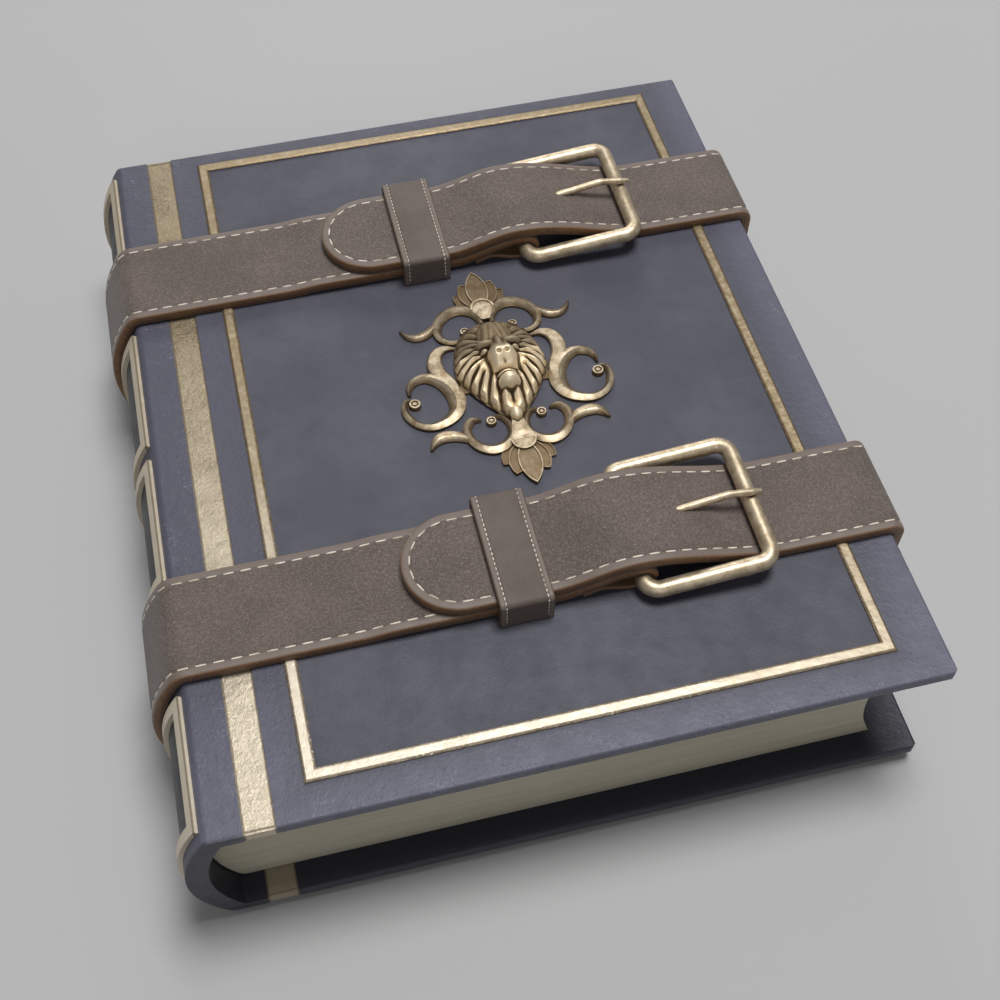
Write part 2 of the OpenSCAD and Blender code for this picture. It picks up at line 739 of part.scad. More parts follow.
// Palmette of hollowed leaves, each one partly under the one before it
module palmette(stem) {
    translate(leaf_foot) {
        for (i = [0:len(leaves) - 1], s = i == 0 ? [1] : [-1, 1]) {
            shape = [s * leaves[i][0], leaves[i][1], leaves[i][2]];
            top = leaf_h * (1 - 0.16 * i);
            difference() {
                linear_extrude(top)
                    difference() {
                        leaf_plan(shape, 0);
                        if (i > 0)
                            leaf_plan([s * leaves[i - 1][0], leaves[i - 1][1], leaves[i - 1][2]], 0.05);
                        if (i > 1)
                            leaf_plan(leaves[0], 0.05);
                    }
                translate([0, 0, top - leaf_hollow])
                    linear_extrude(over)
                        leaf_plan(shape, 0.45);
            }
        }
        linear_extrude(leaf_h + shell_rise / 2)
            polygon([[-4.2, 0], [4.2, 0], [1.6, -stem], [-1.6, -stem]]);
        difference() {
            cylinder(r = 4.6, h = leaf_h + shell_rise, $fn = 48);
            translate([0, 0, leaf_h + shell_rise / 3])
                cylinder(r = 3.9, h = over, $fn = 48);
            translate([-4.7, -9.4, leaf_h + shell_rise / 3])
                cube([9.4, 9.4, over]);
        }
    }
}

module half_scrolls() {
    stroke(upper_curl, scroll_h, curl_section);
    stroke(upper_tail, scroll_h * 0.9, tail_section);
    stroke(side_hook, scroll_h * 0.9, hook_section);
    stroke(side_curl, scroll_h, flipped(curl_section));
    stroke(lower_curl, scroll_h, curl_section);
    stroke(lower_tail, scroll_h * 0.9, tail_section);
    for (s = snails)
        translate([s[0], s[1], 0])
            difference() {
                cylinder(r1 = s[2], r2 = s[2] * 0.86, h = scroll_h * 0.8, $fn = 32);
                translate([0, 0, scroll_h * 0.8 - snail_hollow])
                    difference() {
                        cylinder(r = s[2] * 0.62, h = over, $fn = 32);
                        cylinder(r = s[2] * 0.3, h = over, $fn = 24);
                    }
            }
}

module scroll_mount() {
    color(brass)
        translate([mount_x, mount_y, z_front])
            scale([mount_k, mount_k, 1])
                difference() {
                    union() {
                        half_scrolls();
                        mirror([1, 0, 0])
                            half_scrolls();
                        palmette(5.4);
                        mirror([0, 1, 0])
                            palmette(11);
                        linear_extrude(plate_t)
                            polygon([for (a = [0:6:359]) mane_edge(a) * 0.94 * [cos(a), sin(a)]]);
                        translate([-18.2, -6.5, 0])
                            cube([36.4, 4, plate_t]);
                    }
                    // Seat of the lion's head, on the plate that joins the scrolls
                    translate([0, 0, plate_t])
                        linear_extrude(lion_h)
                            polygon([for (a = [0:6:359]) mane_edge(a) * 1.02 * [cos(a), sin(a)]]);
                }
}

// Outline of the mane about its middle: broad crown, wide sides and pointed beard
function mane_edge(a) =
    let (c = abs(cos(a)) / 17.2, s = abs(sin(a)) / (sin(a) > 0 ? 24.5 : 24), n = sin(a) > 0 ? 2.2 : 1.22)
    pow(pow(c, n) + pow(s, n), -1 / n);
function within(v) = min(max(v, 0), 1);

// Dome with its top at h, drawn with half axes a and b about (x, y)
function dome(p, x, y, a, b, h, deep) =
    let (u = (p[0] - x) / a, v = (p[1] - y) / b, q = 1 - u * u - v * v)
    h - deep + deep * (q > 0 ? sqrt(q) : q);
function bump(p, x, y, a, b) = exp(-pow((p[0] - x) / a, 2) - pow((p[1] - y) / b, 2));
// The higher of two heights, with a soft joint k wide
function soft(a, b, k) = let (d = max(k - abs(a - b), 0) / k) max(a, b) + d * d * k / 4;
function soft_all(list, i = 0) = i == len(list) - 1 ? list[i][0]
    : soft(list[i][0], soft_all(list, i + 1), list[i][1]);

// Face at a point with its distance to the right or left of the middle line made positive
function lion_muzzle(p) = 15.2 - 0.9 * max(-1.2 - p[1], 0) - 0.8 * max(p[1], 0)
    - 0.5 * pow(max(p[0] - 2, 0), 2);
function lion_skin(p) = soft_all([
    [dome(p, 0, 11.5, 7, 9, 8.6, 5) + 0.3 * abs(sin((p[0] * 1.25 + 0.25 * p[1]) * 180 / PI)), 1],
    [dome(p, 0, 2.6, 8, 10, 8.6, 5), 0.9],
    [dome(p, 4.6, 6.7, 3.9, 1.8, 11.2, 3), 1.2],
    [dome(p, 6.6, -1.2, 2.7, 3.8, 8, 3.4), 1.2],
    [dome(p, 0, 3, 2.3, 7.4, 12.4, 5), 0.8],
    [lion_muzzle(p), 0.8]]);
function lion_eye(p) = soft(lion_skin(p) - 2.2 * bump(p, 5.2, 4.2, 1.9, 1.1),
    dome(p, 5.6, 3.8, 1.4, 1, 9.9, 2), 0.3);
// Mouth, nostrils, cleft of the lip and the groove round the chin
function lion_mouth(p) = exp(-pow((p[1] + 6.7 + 0.03 * p[0] * p[0]) / 0.7, 2)) * within((5.8 - p[0]) / 1.8);
function lion_groove(p) = exp(-pow((norm([p[0] / 4.9, (p[1] + 11.4) / 4.2]) - 1) / 0.16, 2));
function lion_cuts(p) = 3.6 * lion_mouth(p) + 2 * bump(p, 1.6, -1.5, 0.62, 0.5)
    + 0.6 * bump(p, 0, -5, 0.5, 1.3) + 1.6 * lion_groove(p);
function lion_face(p) = soft(
    soft(lion_eye(p) - lion_cuts(p), dome(p, 0, -8.1, 3.6, 1, 11.2, 4), 0.4),
    dome(p, 0, -11.4, 4.2, 3.3, 13, 7), 0.3);

// Locks of the mane run out from between the eyes, calmer over the crown, and meet in the beard
function lion_mane(p, r) =
    let (y = p[1] - 5, a = atan2(p[0], -y), d = norm([p[0], y]),
        turn = (a + max(d - 9, 0) * 0.8 * sin(a)) / 14, k = floor(turn),
        lock = pow(max(sin(180 * (turn - k)), 0), 1.1), tuft = sin((d * 0.75 + k * 2.4) * 180 / PI),
        swell = within((r - 0.3) / 0.28) * max(within((1 - r) / 0.12), 0.4)
            * (1 - 0.65 * within((a - 100) / 40)))
    soft(7.8 * pow(max(1 - pow(r, 2.2), 0), 0.66) - 0.9 + swell * lock * (2.7 + 0.5 * tuft),
        dome(p, 0, -20.3, 2.6, 4.6, 4.6, 4), 0.8);
function lion_z(x, y, r) = let (p = [abs(x), y]) max(soft(lion_face(p), lion_mane(p, r), 0.8), 0.4);

// Points of the head, ring by ring from its middle to its edge
lion_step = 4;
lion_rings = 26;
module lion_head() {
    n = 360 / lion_step;
    m = lion_rings;
    k_z = (lion_h - plate_t) / 15.6;
    top = [for (i = [1:m], k = [0:n - 1])
        let (a = k * lion_step, r = pow(i / m, 0.85), d = mane_edge(a) * r)
        [d * cos(a), d * sin(a), k_z * lion_z(d * cos(a), d * sin(a), r)]];
    rim = [for (k = [0:n - 1]) let (a = k * lion_step) [mane_edge(a) * cos(a), mane_edge(a) * sin(a), 0]];
    middle = [0, 0, k_z * lion_z(0, 0, 0)];
    faces = concat(
        [for (k = [0:n - 1]) [n * m + n, (k + 1) % n, k]],
        [for (i = [0:m - 2], k = [0:n - 1]) let (j = (k + 1) % n) [n * i + k, n * i + n + j, n * i + n + k]],
        [for (i = [0:m - 2], k = [0:n - 1]) let (j = (k + 1) % n) [n * i + k, n * i + j, n * i + n + j]],
        [for (k = [0:n - 1]) let (j = (k + 1) % n, i = n * m - n) [i + k, n * m + j, n * m + k]],
        [for (k = [0:n - 1]) let (j = (k + 1) % n, i = n * m - n) [i + k, i + j, n * m + j]],
        [[for (k = [0:n - 1]) n * m + k]]);
    color(brass)
        translate([mount_x, mount_y, z_front + plate_t + 0.02])
            scale([mount_k, mount_k, 1])
                polyhedron(concat(top, rim, [middle]), faces);
}

front_cover();
back_cover();
spine();
page_block();
front_gilt_band();
back_gilt_band();
front_gilt_frame();
spine_frame_1();
spine_frame_2();
spine_frame_3();
spine_frame_4();
scroll_mount();
lion_head();
upper_strap();
lower_strap();
upper_keeper();
lower_keeper();
upper_buckle();
lower_buckle();
upper_prong();
lower_prong();
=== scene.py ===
"""Looks of an antique leather book held shut by two buckled straps.

Blue leather boards carry gilt bands and a gilt frame, the round spine carries four raised gilt frames,
and a cast lion in scrollwork sits on the front cover. Sizes are in millimetres in the part's own frame:
+X from the spine to the fore-edge, +Y from tail to head, +Z up. Meshes are scaled to metres when made.
"""

import json
import logging
import math
from dataclasses import dataclass
from enum import Enum

import bmesh
import bpy
import numpy as np
from mathutils import Euler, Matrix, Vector

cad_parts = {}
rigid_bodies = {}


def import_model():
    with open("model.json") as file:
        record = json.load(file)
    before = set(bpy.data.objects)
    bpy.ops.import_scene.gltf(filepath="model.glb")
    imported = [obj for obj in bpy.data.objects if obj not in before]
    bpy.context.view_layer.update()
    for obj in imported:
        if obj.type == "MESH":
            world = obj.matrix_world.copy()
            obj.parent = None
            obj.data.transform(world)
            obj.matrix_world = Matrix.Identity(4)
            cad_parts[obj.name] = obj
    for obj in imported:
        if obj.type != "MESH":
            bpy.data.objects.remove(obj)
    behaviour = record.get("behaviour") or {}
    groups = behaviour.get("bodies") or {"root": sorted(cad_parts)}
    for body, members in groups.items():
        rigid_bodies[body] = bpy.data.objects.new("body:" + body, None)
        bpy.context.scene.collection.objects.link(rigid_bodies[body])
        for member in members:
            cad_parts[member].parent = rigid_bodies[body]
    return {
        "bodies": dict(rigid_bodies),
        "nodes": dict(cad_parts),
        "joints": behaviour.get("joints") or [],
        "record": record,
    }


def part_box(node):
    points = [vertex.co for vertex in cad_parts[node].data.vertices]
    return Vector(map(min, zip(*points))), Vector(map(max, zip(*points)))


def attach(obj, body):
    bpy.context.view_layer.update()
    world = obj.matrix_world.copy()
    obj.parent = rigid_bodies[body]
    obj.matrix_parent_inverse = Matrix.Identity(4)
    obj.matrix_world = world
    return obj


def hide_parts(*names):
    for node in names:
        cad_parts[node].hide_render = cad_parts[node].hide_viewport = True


log = logging.getLogger("book")

MM = 0.001
STRAP_WIDTH = 38.0
SPINE_RADIUS = 48.0
GILT_RAIL = 4.3
SIDES = ("upper", "lower")
SPINE_FRAMES = tuple(f"spine_frame_{number}" for number in range(1, 5))

Colour = tuple[float, float, float]
Point2 = tuple[float, float]
Point3 = tuple[float, float, float]
Socket = bpy.types.NodeSocket
Material = bpy.types.Material


def shown(red: int, green: int, blue: int) -> Colour:
    """Linear colour that is shown as these display values.

    Args:
        red: Red from 0 to 255.
        green: Green from 0 to 255.
        blue: Blue from 0 to 255.

    Returns:
        The three linear channels.
    """
    def linear(value: float) -> float:
        """One channel in linear light."""
        share = value / 255
        return share / 12.92 if share <= 0.04045 else ((share + 0.055) / 1.055) ** 2.4
    return linear(red), linear(green), linear(blue)


def ease(share: float) -> float:
    """Share of a smooth rise from 0 to 1."""
    return (1 - math.cos(math.pi * min(max(share, 0.0), 1.0))) / 2


def between(low: float, high: float, share: float) -> float:
    """Value that lies this share of the way from low to high."""
    return low + (high - low) * share


class Shader:
    """Wires the shader nodes of one material; its methods return the socket that carries their result."""

    MIX_SHARE, MIX_A, MIX_B, MIX_RESULT = 0, 6, 7, 2
    SHELTER_SAMPLES = 8

    def __init__(self, name: str) -> None:
        """Starts a material with a bare surface shader.

        Args:
            name: Name of the material.
        """
        self.material = bpy.data.materials.new(name)
        self.material.use_nodes = True
        self.tree = self.material.node_tree
        self.surface = self.tree.nodes["Principled BSDF"]
        place = self.tree.nodes.new("ShaderNodeTexCoord")
        self.place: Socket = place.outputs["Object"]

    def feed(self, socket: Socket, value: "Socket | Colour | float") -> None:
        """Gives a socket its value, by a link or as a constant.

        Args:
            socket: Input that takes the value.
            value: Another node's output, a colour or a number.
        """
        if isinstance(value, bpy.types.NodeSocket):
            self.tree.links.new(value, socket)
        elif isinstance(value, tuple) and socket.type == "RGBA":
            socket.default_value = (*value, 1.0)
        else:
            socket.default_value = value

    def sum(self, operation: str, a: "Socket | float", b: "Socket | float" = 0.0,
            clamp: bool = False) -> Socket:
        """One arithmetic step.

        Args:
            operation: Name of the step, such as ADD or MAXIMUM.
            a: First value.
            b: Second value.
            clamp: Keeps the result between 0 and 1.

        Returns:
            The result.
        """
        made = self.tree.nodes.new("ShaderNodeMath")
        made.operation = operation
        made.use_clamp = clamp
        self.feed(made.inputs[0], a)
        self.feed(made.inputs[1], b)
        return made.outputs[0]

    def rise(self, value: Socket, low: float, high: float, ends: Point2 = (0.0, 1.0)) -> Socket:
        """Smooth change from one end value to the other.

        Args:
            value: Value that is followed.
            low: Where the change starts.
            high: Where the change is complete.
            ends: Result before low and after high.

        Returns:
            The eased result.
        """
        made = self.tree.nodes.new("ShaderNodeMapRange")
        made.interpolation_type = "SMOOTHSTEP"
        self.feed(made.inputs[0], value)
        for socket, number in zip(made.inputs[1:5], (low, high, *ends)):
            socket.default_value = number
        return made.outputs[0]

    def mix(self, share: "Socket | float", a: "Socket | Colour", b: "Socket | Colour") -> Socket:
        """Colour between a and b.

        Args:
            share: Share of b.
            a: First colour.
            b: Second colour.

        Returns:
            The mixed colour.
        """
        made = self.tree.nodes.new("ShaderNodeMix")
        made.data_type = "RGBA"
        self.feed(made.inputs[self.MIX_SHARE], share)
        self.feed(made.inputs[self.MIX_A], a)
        self.feed(made.inputs[self.MIX_B], b)
        return made.outputs[self.MIX_RESULT]

    def stretch(self, x: float, y: float, z: float) -> Socket:
        """Place on the object with each axis multiplied.

        Args:
            x: Factor along X.
            y: Factor along Y.
            z: Factor along Z.

        Returns:
            The stretched place.
        """
        made = self.tree.nodes.new("ShaderNodeMapping")
        made.inputs["Scale"].default_value = (x, y, z)
        self.tree.links.new(self.place, made.inputs["Vector"])
        return made.outputs[0]

    def noise(self, size: float, detail: float = 3.0, rough: float = 0.55,
              at: "Socket | None" = None) -> Socket:
        """Cloudy noise from 0 to 1.

        Args:
            size: Size of the largest cloud in millimetres.
            detail: Number of finer layers.
            rough: Strength of the finer layers.
            at: Place that is looked up, or None for the place on the object.

        Returns:
            The noise value.
        """
        made = self.tree.nodes.new("ShaderNodeTexNoise")
        self.tree.links.new(at or self.place, made.inputs["Vector"])
        made.inputs["Scale"].default_value = 1 / (size * MM)
        made.inputs["Detail"].default_value = detail
        made.inputs["Roughness"].default_value = rough
        return made.outputs[0]

    def cells(self, size: float) -> Socket:
        """Distance from the middles of a pattern of cells.

        Args:
            size: Size of a cell in millimetres.

        Returns:
            The distance.
        """
        made = self.tree.nodes.new("ShaderNodeTexVoronoi")
        self.tree.links.new(self.place, made.inputs["Vector"])
        made.inputs["Scale"].default_value = 1 / (size * MM)
        return made.outputs["Distance"]

    def split(self, vector: Socket) -> tuple[Socket, Socket, Socket]:
        """Takes a vector apart.

        Args:
            vector: The vector.

        Returns:
            Its three parts.
        """
        made = self.tree.nodes.new("ShaderNodeSeparateXYZ")
        self.tree.links.new(vector, made.inputs[0])
        return made.outputs[0], made.outputs[1], made.outputs[2]

    def chart(self, name: str) -> tuple[Socket, Socket]:
        """Reads one of the mesh's own charts.

        Args:
            name: Name of the chart.

        Returns:
            Both values of the chart.
        """
        made = self.tree.nodes.new("ShaderNodeUVMap")
        made.uv_map = name
        across, along, _ = self.split(made.outputs[0])
        return across, along

    def shelter(self, reach: float) -> Socket:
        """How open the surface is.

        Args:
            reach: Distance in millimetres that walls are looked for in.

        Returns:
            A value from 0 deep in a hollow to 1 in the open.
        """
        made = self.tree.nodes.new("ShaderNodeAmbientOcclusion")
        made.samples = self.SHELTER_SAMPLES
        made.inputs["Distance"].default_value = reach * MM
        return made.outputs["AO"]

    def outside(self, box: tuple[Vector, Vector]) -> Socket:
        """Distance out of a rectangle seen from above, below 0 inside it.

        Args:
            box: Lowest and highest corner in metres.

        Returns:
            The distance in metres.
        """
        x, y, _ = self.split(self.place)
        low, high = box
        parts = []
        for value, a, b in ((x, low.x, high.x), (y, low.y, high.y)):
            away = self.sum("ABSOLUTE", self.sum("SUBTRACT", value, (a + b) / 2))
            parts.append(self.sum("SUBTRACT", away, (b - a) / 2))
        return self.sum("MAXIMUM", *parts)

    def relief(self, height: Socket, depth: float, under: "Socket | None" = None) -> Socket:
        """Surface direction over a fine relief.

        Args:
            height: Height of the relief from 0 to 1.
            depth: Depth of the relief in millimetres.
            under: Direction of the surface that the relief is laid on.

        Returns:
            The tilted direction.
        """
        made = self.tree.nodes.new("ShaderNodeBump")
        made.inputs["Strength"].default_value = 1.0
        made.inputs["Distance"].default_value = depth * MM
        self.feed(made.inputs["Height"], height)
        if under is not None:
            self.feed(made.inputs["Normal"], under)
        return made.outputs[0]

    def done(self, colour: "Socket | Colour", rough: "Socket | float", metal: "Socket | float" = 0.0,
             direction: "Socket | None" = None, specular: float = 0.5, sheen: float = 0.0) -> Material:
        """Finishes the surface shader.

        Args:
            colour: Base colour.
            rough: Roughness.
            metal: Share of metal.
            direction: Direction of the surface, with its relief.
            specular: Strength of the gloss.
            sheen: Strength of the nap.

        Returns:
            The finished material.
        """
        self.feed(self.surface.inputs["Base Color"], colour)
        self.feed(self.surface.inputs["Roughness"], rough)
        self.feed(self.surface.inputs["Metallic"], metal)
        self.surface.inputs["Specular IOR Level"].default_value = specular
        self.surface.inputs["Sheen Weight"].default_value = sheen
        self.surface.inputs["Sheen Roughness"].default_value = 0.5
        if direction is not None:
            self.feed(self.surface.inputs["Normal"], direction)
        return self.material


class Slot(Enum):
    """Names of material slots in the part's record."""

    STRAP = "strap_leather"
    KEEPER = "keeper_leather"
    BRASS = "antique_brass"


@dataclass(frozen=True)
class CoverLeather:
    """Blue-grey leather of the boards and the spine, lighter and rubbed round the gilt frame, with painted
    shade.

    Sizes and depths are in millimetres. A pair of places gives where a change starts and is complete,
    counted from the edge that its name says; a share says how much of a colour is mixed in.
    """

    field: Colour = shown(71, 71, 83)
    cloud: Colour = shown(82, 82, 93)
    border: Colour = shown(80, 80, 94)
    tail: Colour = shown(94, 94, 110)
    rubbed: Colour = shown(102, 102, 119)
    fleck: Colour = shown(160, 160, 174)
    pit: Colour = shown(54, 54, 66)
    # Painted shade on the sides that face the pages and in the spine's hollow.
    painted_inner_shade: Colour = shown(50, 51, 64)
    # Painted shade on the spine's tail end, on the back board's edges and underside, and low on the spine.
    under: Colour = shown(36, 37, 47)
    # Painted shade on the spine inside its raised frames.
    painted_panel_shade: Colour = shown(26, 26, 33)
    cloud_size: float = 46.0
    mottle_size: float = 9.0
    fleck_size: float = 0.9
    fleck_patch: float = 11.0
    fleck_share: float = 0.5
    pit_size: float = 1.6
    pit_patch: float = 13.0
    pit_share: float = 0.6
    pore_size: float = 0.9
    fine_size: float = 0.5
    wrinkle_size: float = 3.2
    pore_depth: float = 0.07
    wrinkle_depth: float = 0.34
    gloss: float = 0.38
    spine_wall: float = 7.4
    skin: float = 0.2
    front_face: Point2 = (60.0, 62.5)
    # Reach from the tail of the lighter, more pitted border and of the painted shade on the field.
    tail_wear_and_shade: Point2 = (55.0, 8.0)
    tail_field_shade: float = 0.4
    fore_wear: Point2 = (15.0, 1.0)
    fore_share: float = 0.6
    frame_shade: float = 9.0
    frame_share: float = 0.5
    rim_wear: Point2 = (9.0, 1.0)
    panel_side: Point2 = (3.0, 5.0)
    panel_end: Point2 = (1.0, 4.0)
    panel_shade_share: float = 0.9
    # Painted shade on the spine's tail end: its reach from the tail, its share and its reach from the hinge.
    tail_end: Point2 = (1.5, 0.3)
    tail_end_shade_share: float = 0.6
    hinge: Point2 = (3.0, -5.0)
    # Height above the back board over which painted shade deepens downwards.
    low_shade_rise: float = 36.0

    def inside(self, s: Shader) -> Socket:
        """Finds where shade is painted on the leather that faces the pages.

        Args:
            s: Shader of the leather.

        Returns:
            1 on the boards' inner sides and in the spine's hollow, 0 elsewhere.
        """
        front, back, spine = (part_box(node) for node in ("front_cover", "back_cover", "spine"))
        x, _, z = s.split(s.place)
        above = s.sum("GREATER_THAN", z, back[1].z - self.skin * MM)
        below = s.sum("LESS_THAN", z, front[0].z + self.skin * MM)
        across = s.sum("SUBTRACT", x, spine[0].x + (self.spine_wall + SPINE_RADIUS) * MM)
        up = s.sum("SUBTRACT", z, (front[1].z + back[0].z) / 2)
        away = s.sum("SQRT", s.sum("ADD", s.sum("MULTIPLY", across, across), s.sum("MULTIPLY", up, up)))
        hollow = s.sum("LESS_THAN", away, (SPINE_RADIUS + self.skin) * MM)
        in_boards = s.sum("GREATER_THAN", x, front[0].x)
        return s.sum("MULTIPLY", s.sum("MULTIPLY", above, below), s.sum("MAXIMUM", hollow, in_boards))

    def panels(self, s: Shader) -> Socket:
        """Finds where shade is painted on the leather, inside the raised frames of the spine.

        Args:
            s: Shader of the leather.

        Returns:
            Near 1 inside the frames, 0 elsewhere.
        """
        x, y, _ = s.split(s.place)
        found: "Socket | float" = 0.0
        for node in SPINE_FRAMES:
            low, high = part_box(node)
            away = s.sum("ABSOLUTE", s.sum("SUBTRACT", y, (low.y + high.y) / 2))
            half = (high.y - low.y) / 2
            here = s.rise(away, *(half - place * MM for place in self.panel_side), (0.0, self.panel_shade_share))
            near = s.rise(x, *(high.x - place * MM for place in self.panel_end))
            here = s.sum("MULTIPLY", here, near)
            found = s.sum("MAXIMUM", found, here)
        return found

    def mottled(self, s: Shader, small: Socket, near_tail: Socket) -> Socket:
        """Clouded leather of the field inside the gilt frame, with painted shade near the tail.

        Args:
            s: Shader of the leather.
            small: Small clouds.
            near_tail: 1 near the tail, 0 away from it.

        Returns:
            The colour.
        """
        clouds = s.noise(self.cloud_size, 4, 0.6)
        field = s.mix(s.rise(clouds, 0.36, 0.66), self.field, self.cloud)
        field = s.mix(s.rise(small, 0.35, 0.75, (0.0, 0.22)), field, self.pit)
        # Painted shade: the field turns towards the pit colour near the tail.
        return s.mix(s.sum("MULTIPLY", near_tail, self.tail_field_shade), field, self.pit)

    def rubbed_border(self, s: Shader, small: Socket, near_tail: Socket, past_frame: Socket) -> Socket:
        """Leather outside the gilt frame: paler at the tail and the fore-edge, darker beside the gilding.

        Args:
            s: Shader of the leather.
            small: Small clouds.
            near_tail: 1 near the tail, 0 away from it.
            past_frame: Distance out of the gilt frame in metres.

        Returns:
            The colour.
        """
        x, _, _ = s.split(s.place)
        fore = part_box("front_cover")[1].x
        border = s.mix(near_tail, self.border, self.tail)
        at_fore = s.rise(x, *(fore - place * MM for place in self.fore_wear), (0.0, self.fore_share))
        border = s.mix(at_fore, border, self.rubbed)
        at_frame = s.rise(past_frame, self.frame_shade * MM, 0.0, (0.0, self.frame_share))
        border = s.mix(at_frame, border, self.field)
        return s.mix(s.rise(small, 0.3, 0.7, (0.0, 0.35)), border, self.cloud)

    def shaded(self, s: Shader, colour: Socket) -> Socket:
        """Paints shade on the spine's panels, the inner sides, the spine's tail end and the underside.

        Args:
            s: Shader of the leather.
            colour: Colour of the leather in the open.

        Returns:
            The colour with its painted shade.
        """
        x, y, z = s.split(s.place)
        tail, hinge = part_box("front_cover")[0].y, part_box("front_cover")[0].x
        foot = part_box("back_cover")[1].z
        # Painted shade on the spine inside its raised frames.
        colour = s.mix(self.panels(s), colour, self.painted_panel_shade)
        # Painted shade on the boards' inner sides and in the spine's hollow.
        colour = s.mix(self.inside(s), colour, self.painted_inner_shade)
        # Painted shade on the spine's tail end.
        end = s.rise(y, *(tail + place * MM for place in self.tail_end), (0.0, self.tail_end_shade_share))
        end = s.sum("MULTIPLY", end, s.rise(x, *(hinge + place * MM for place in self.hinge)))
        colour = s.mix(end, colour, self.under)
        # Painted shade on the back board's edges and underside.
        colour = s.mix(s.rise(z, foot + 1 * MM, foot - 1 * MM, (0.0, 0.75)), colour, self.under)
        # Painted shade that deepens lower down, above the back board.
        return s.mix(s.rise(z, foot + self.low_shade_rise * MM, foot, (0.0, 0.4)), colour, self.under)

    def material(self) -> Material:
        """Mottled field inside the gilt frame, flecked border outside it, and rubbed edges.

        Returns:
            The leather.
        """
        s = Shader("cover_leather_aged")
        _, y, z = s.split(s.place)
        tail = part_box("front_cover")[0].y
        small = s.noise(self.mottle_size, 5, 0.65)
        near_tail = s.rise(y, *(tail + place * MM for place in self.tail_wear_and_shade))
        past_frame = s.outside(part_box("front_gilt_frame"))
        off_front = s.rise(z, *(place * MM for place in self.front_face), (1.0, 0.0))
        bordered = s.sum("MAXIMUM", s.rise(past_frame, -2 * MM, 2 * MM), off_front)
        colour = s.mix(bordered, self.mottled(s, small, near_tail),
                       self.rubbed_border(s, small, near_tail, past_frame))
        rim = s.rise(s.outside(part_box("front_cover")), *(-place * MM for place in self.rim_wear))
        flecks = s.rise(s.noise(self.fleck_size, 4, 0.75), 0.55, 0.68)
        flecks = s.sum("MULTIPLY", flecks, s.rise(s.noise(self.fleck_patch, 3), 0.44, 0.66))
        rubbed = s.sum("MULTIPLY", bordered, s.sum("ADD", rim, 0.3, clamp=True))
        flecks = s.sum("MULTIPLY", s.sum("MULTIPLY", flecks, rubbed), self.fleck_share)
        colour = s.mix(flecks, colour, self.fleck)
        pits = s.rise(s.noise(self.pit_size, 4, 0.7), 0.56, 0.7)
        pits = s.sum("MULTIPLY", pits, s.rise(s.noise(self.pit_patch, 3), 0.4, 0.6))
        low_wear = s.sum("MULTIPLY", bordered, s.sum("ADD", near_tail, 0.35, clamp=True))
        pits = s.sum("MULTIPLY", s.sum("MULTIPLY", pits, low_wear), self.pit_share)
        colour = self.shaded(s, s.mix(pits, colour, self.pit))
        pores = s.sum("MULTIPLY", s.cells(self.pore_size), 0.55)
        grain = s.sum("ADD", pores, s.sum("MULTIPLY", s.noise(self.fine_size, 3), 0.45))
        wrinkled = s.sum("ADD", s.sum("MULTIPLY", bordered, 0.7), 0.3)
        wrinkles = s.sum("MULTIPLY", s.noise(self.wrinkle_size, 5, 0.7), wrinkled)
        direction = s.relief(wrinkles, self.wrinkle_depth, s.relief(grain, self.pore_depth))
        rough = s.rise(small, 0.25, 0.8, (0.46, 0.6))
        rough = s.sum("SUBTRACT", rough, s.sum("MULTIPLY", bordered, 0.06))
        return s.done(colour, rough, 0.0, direction, specular=self.gloss)


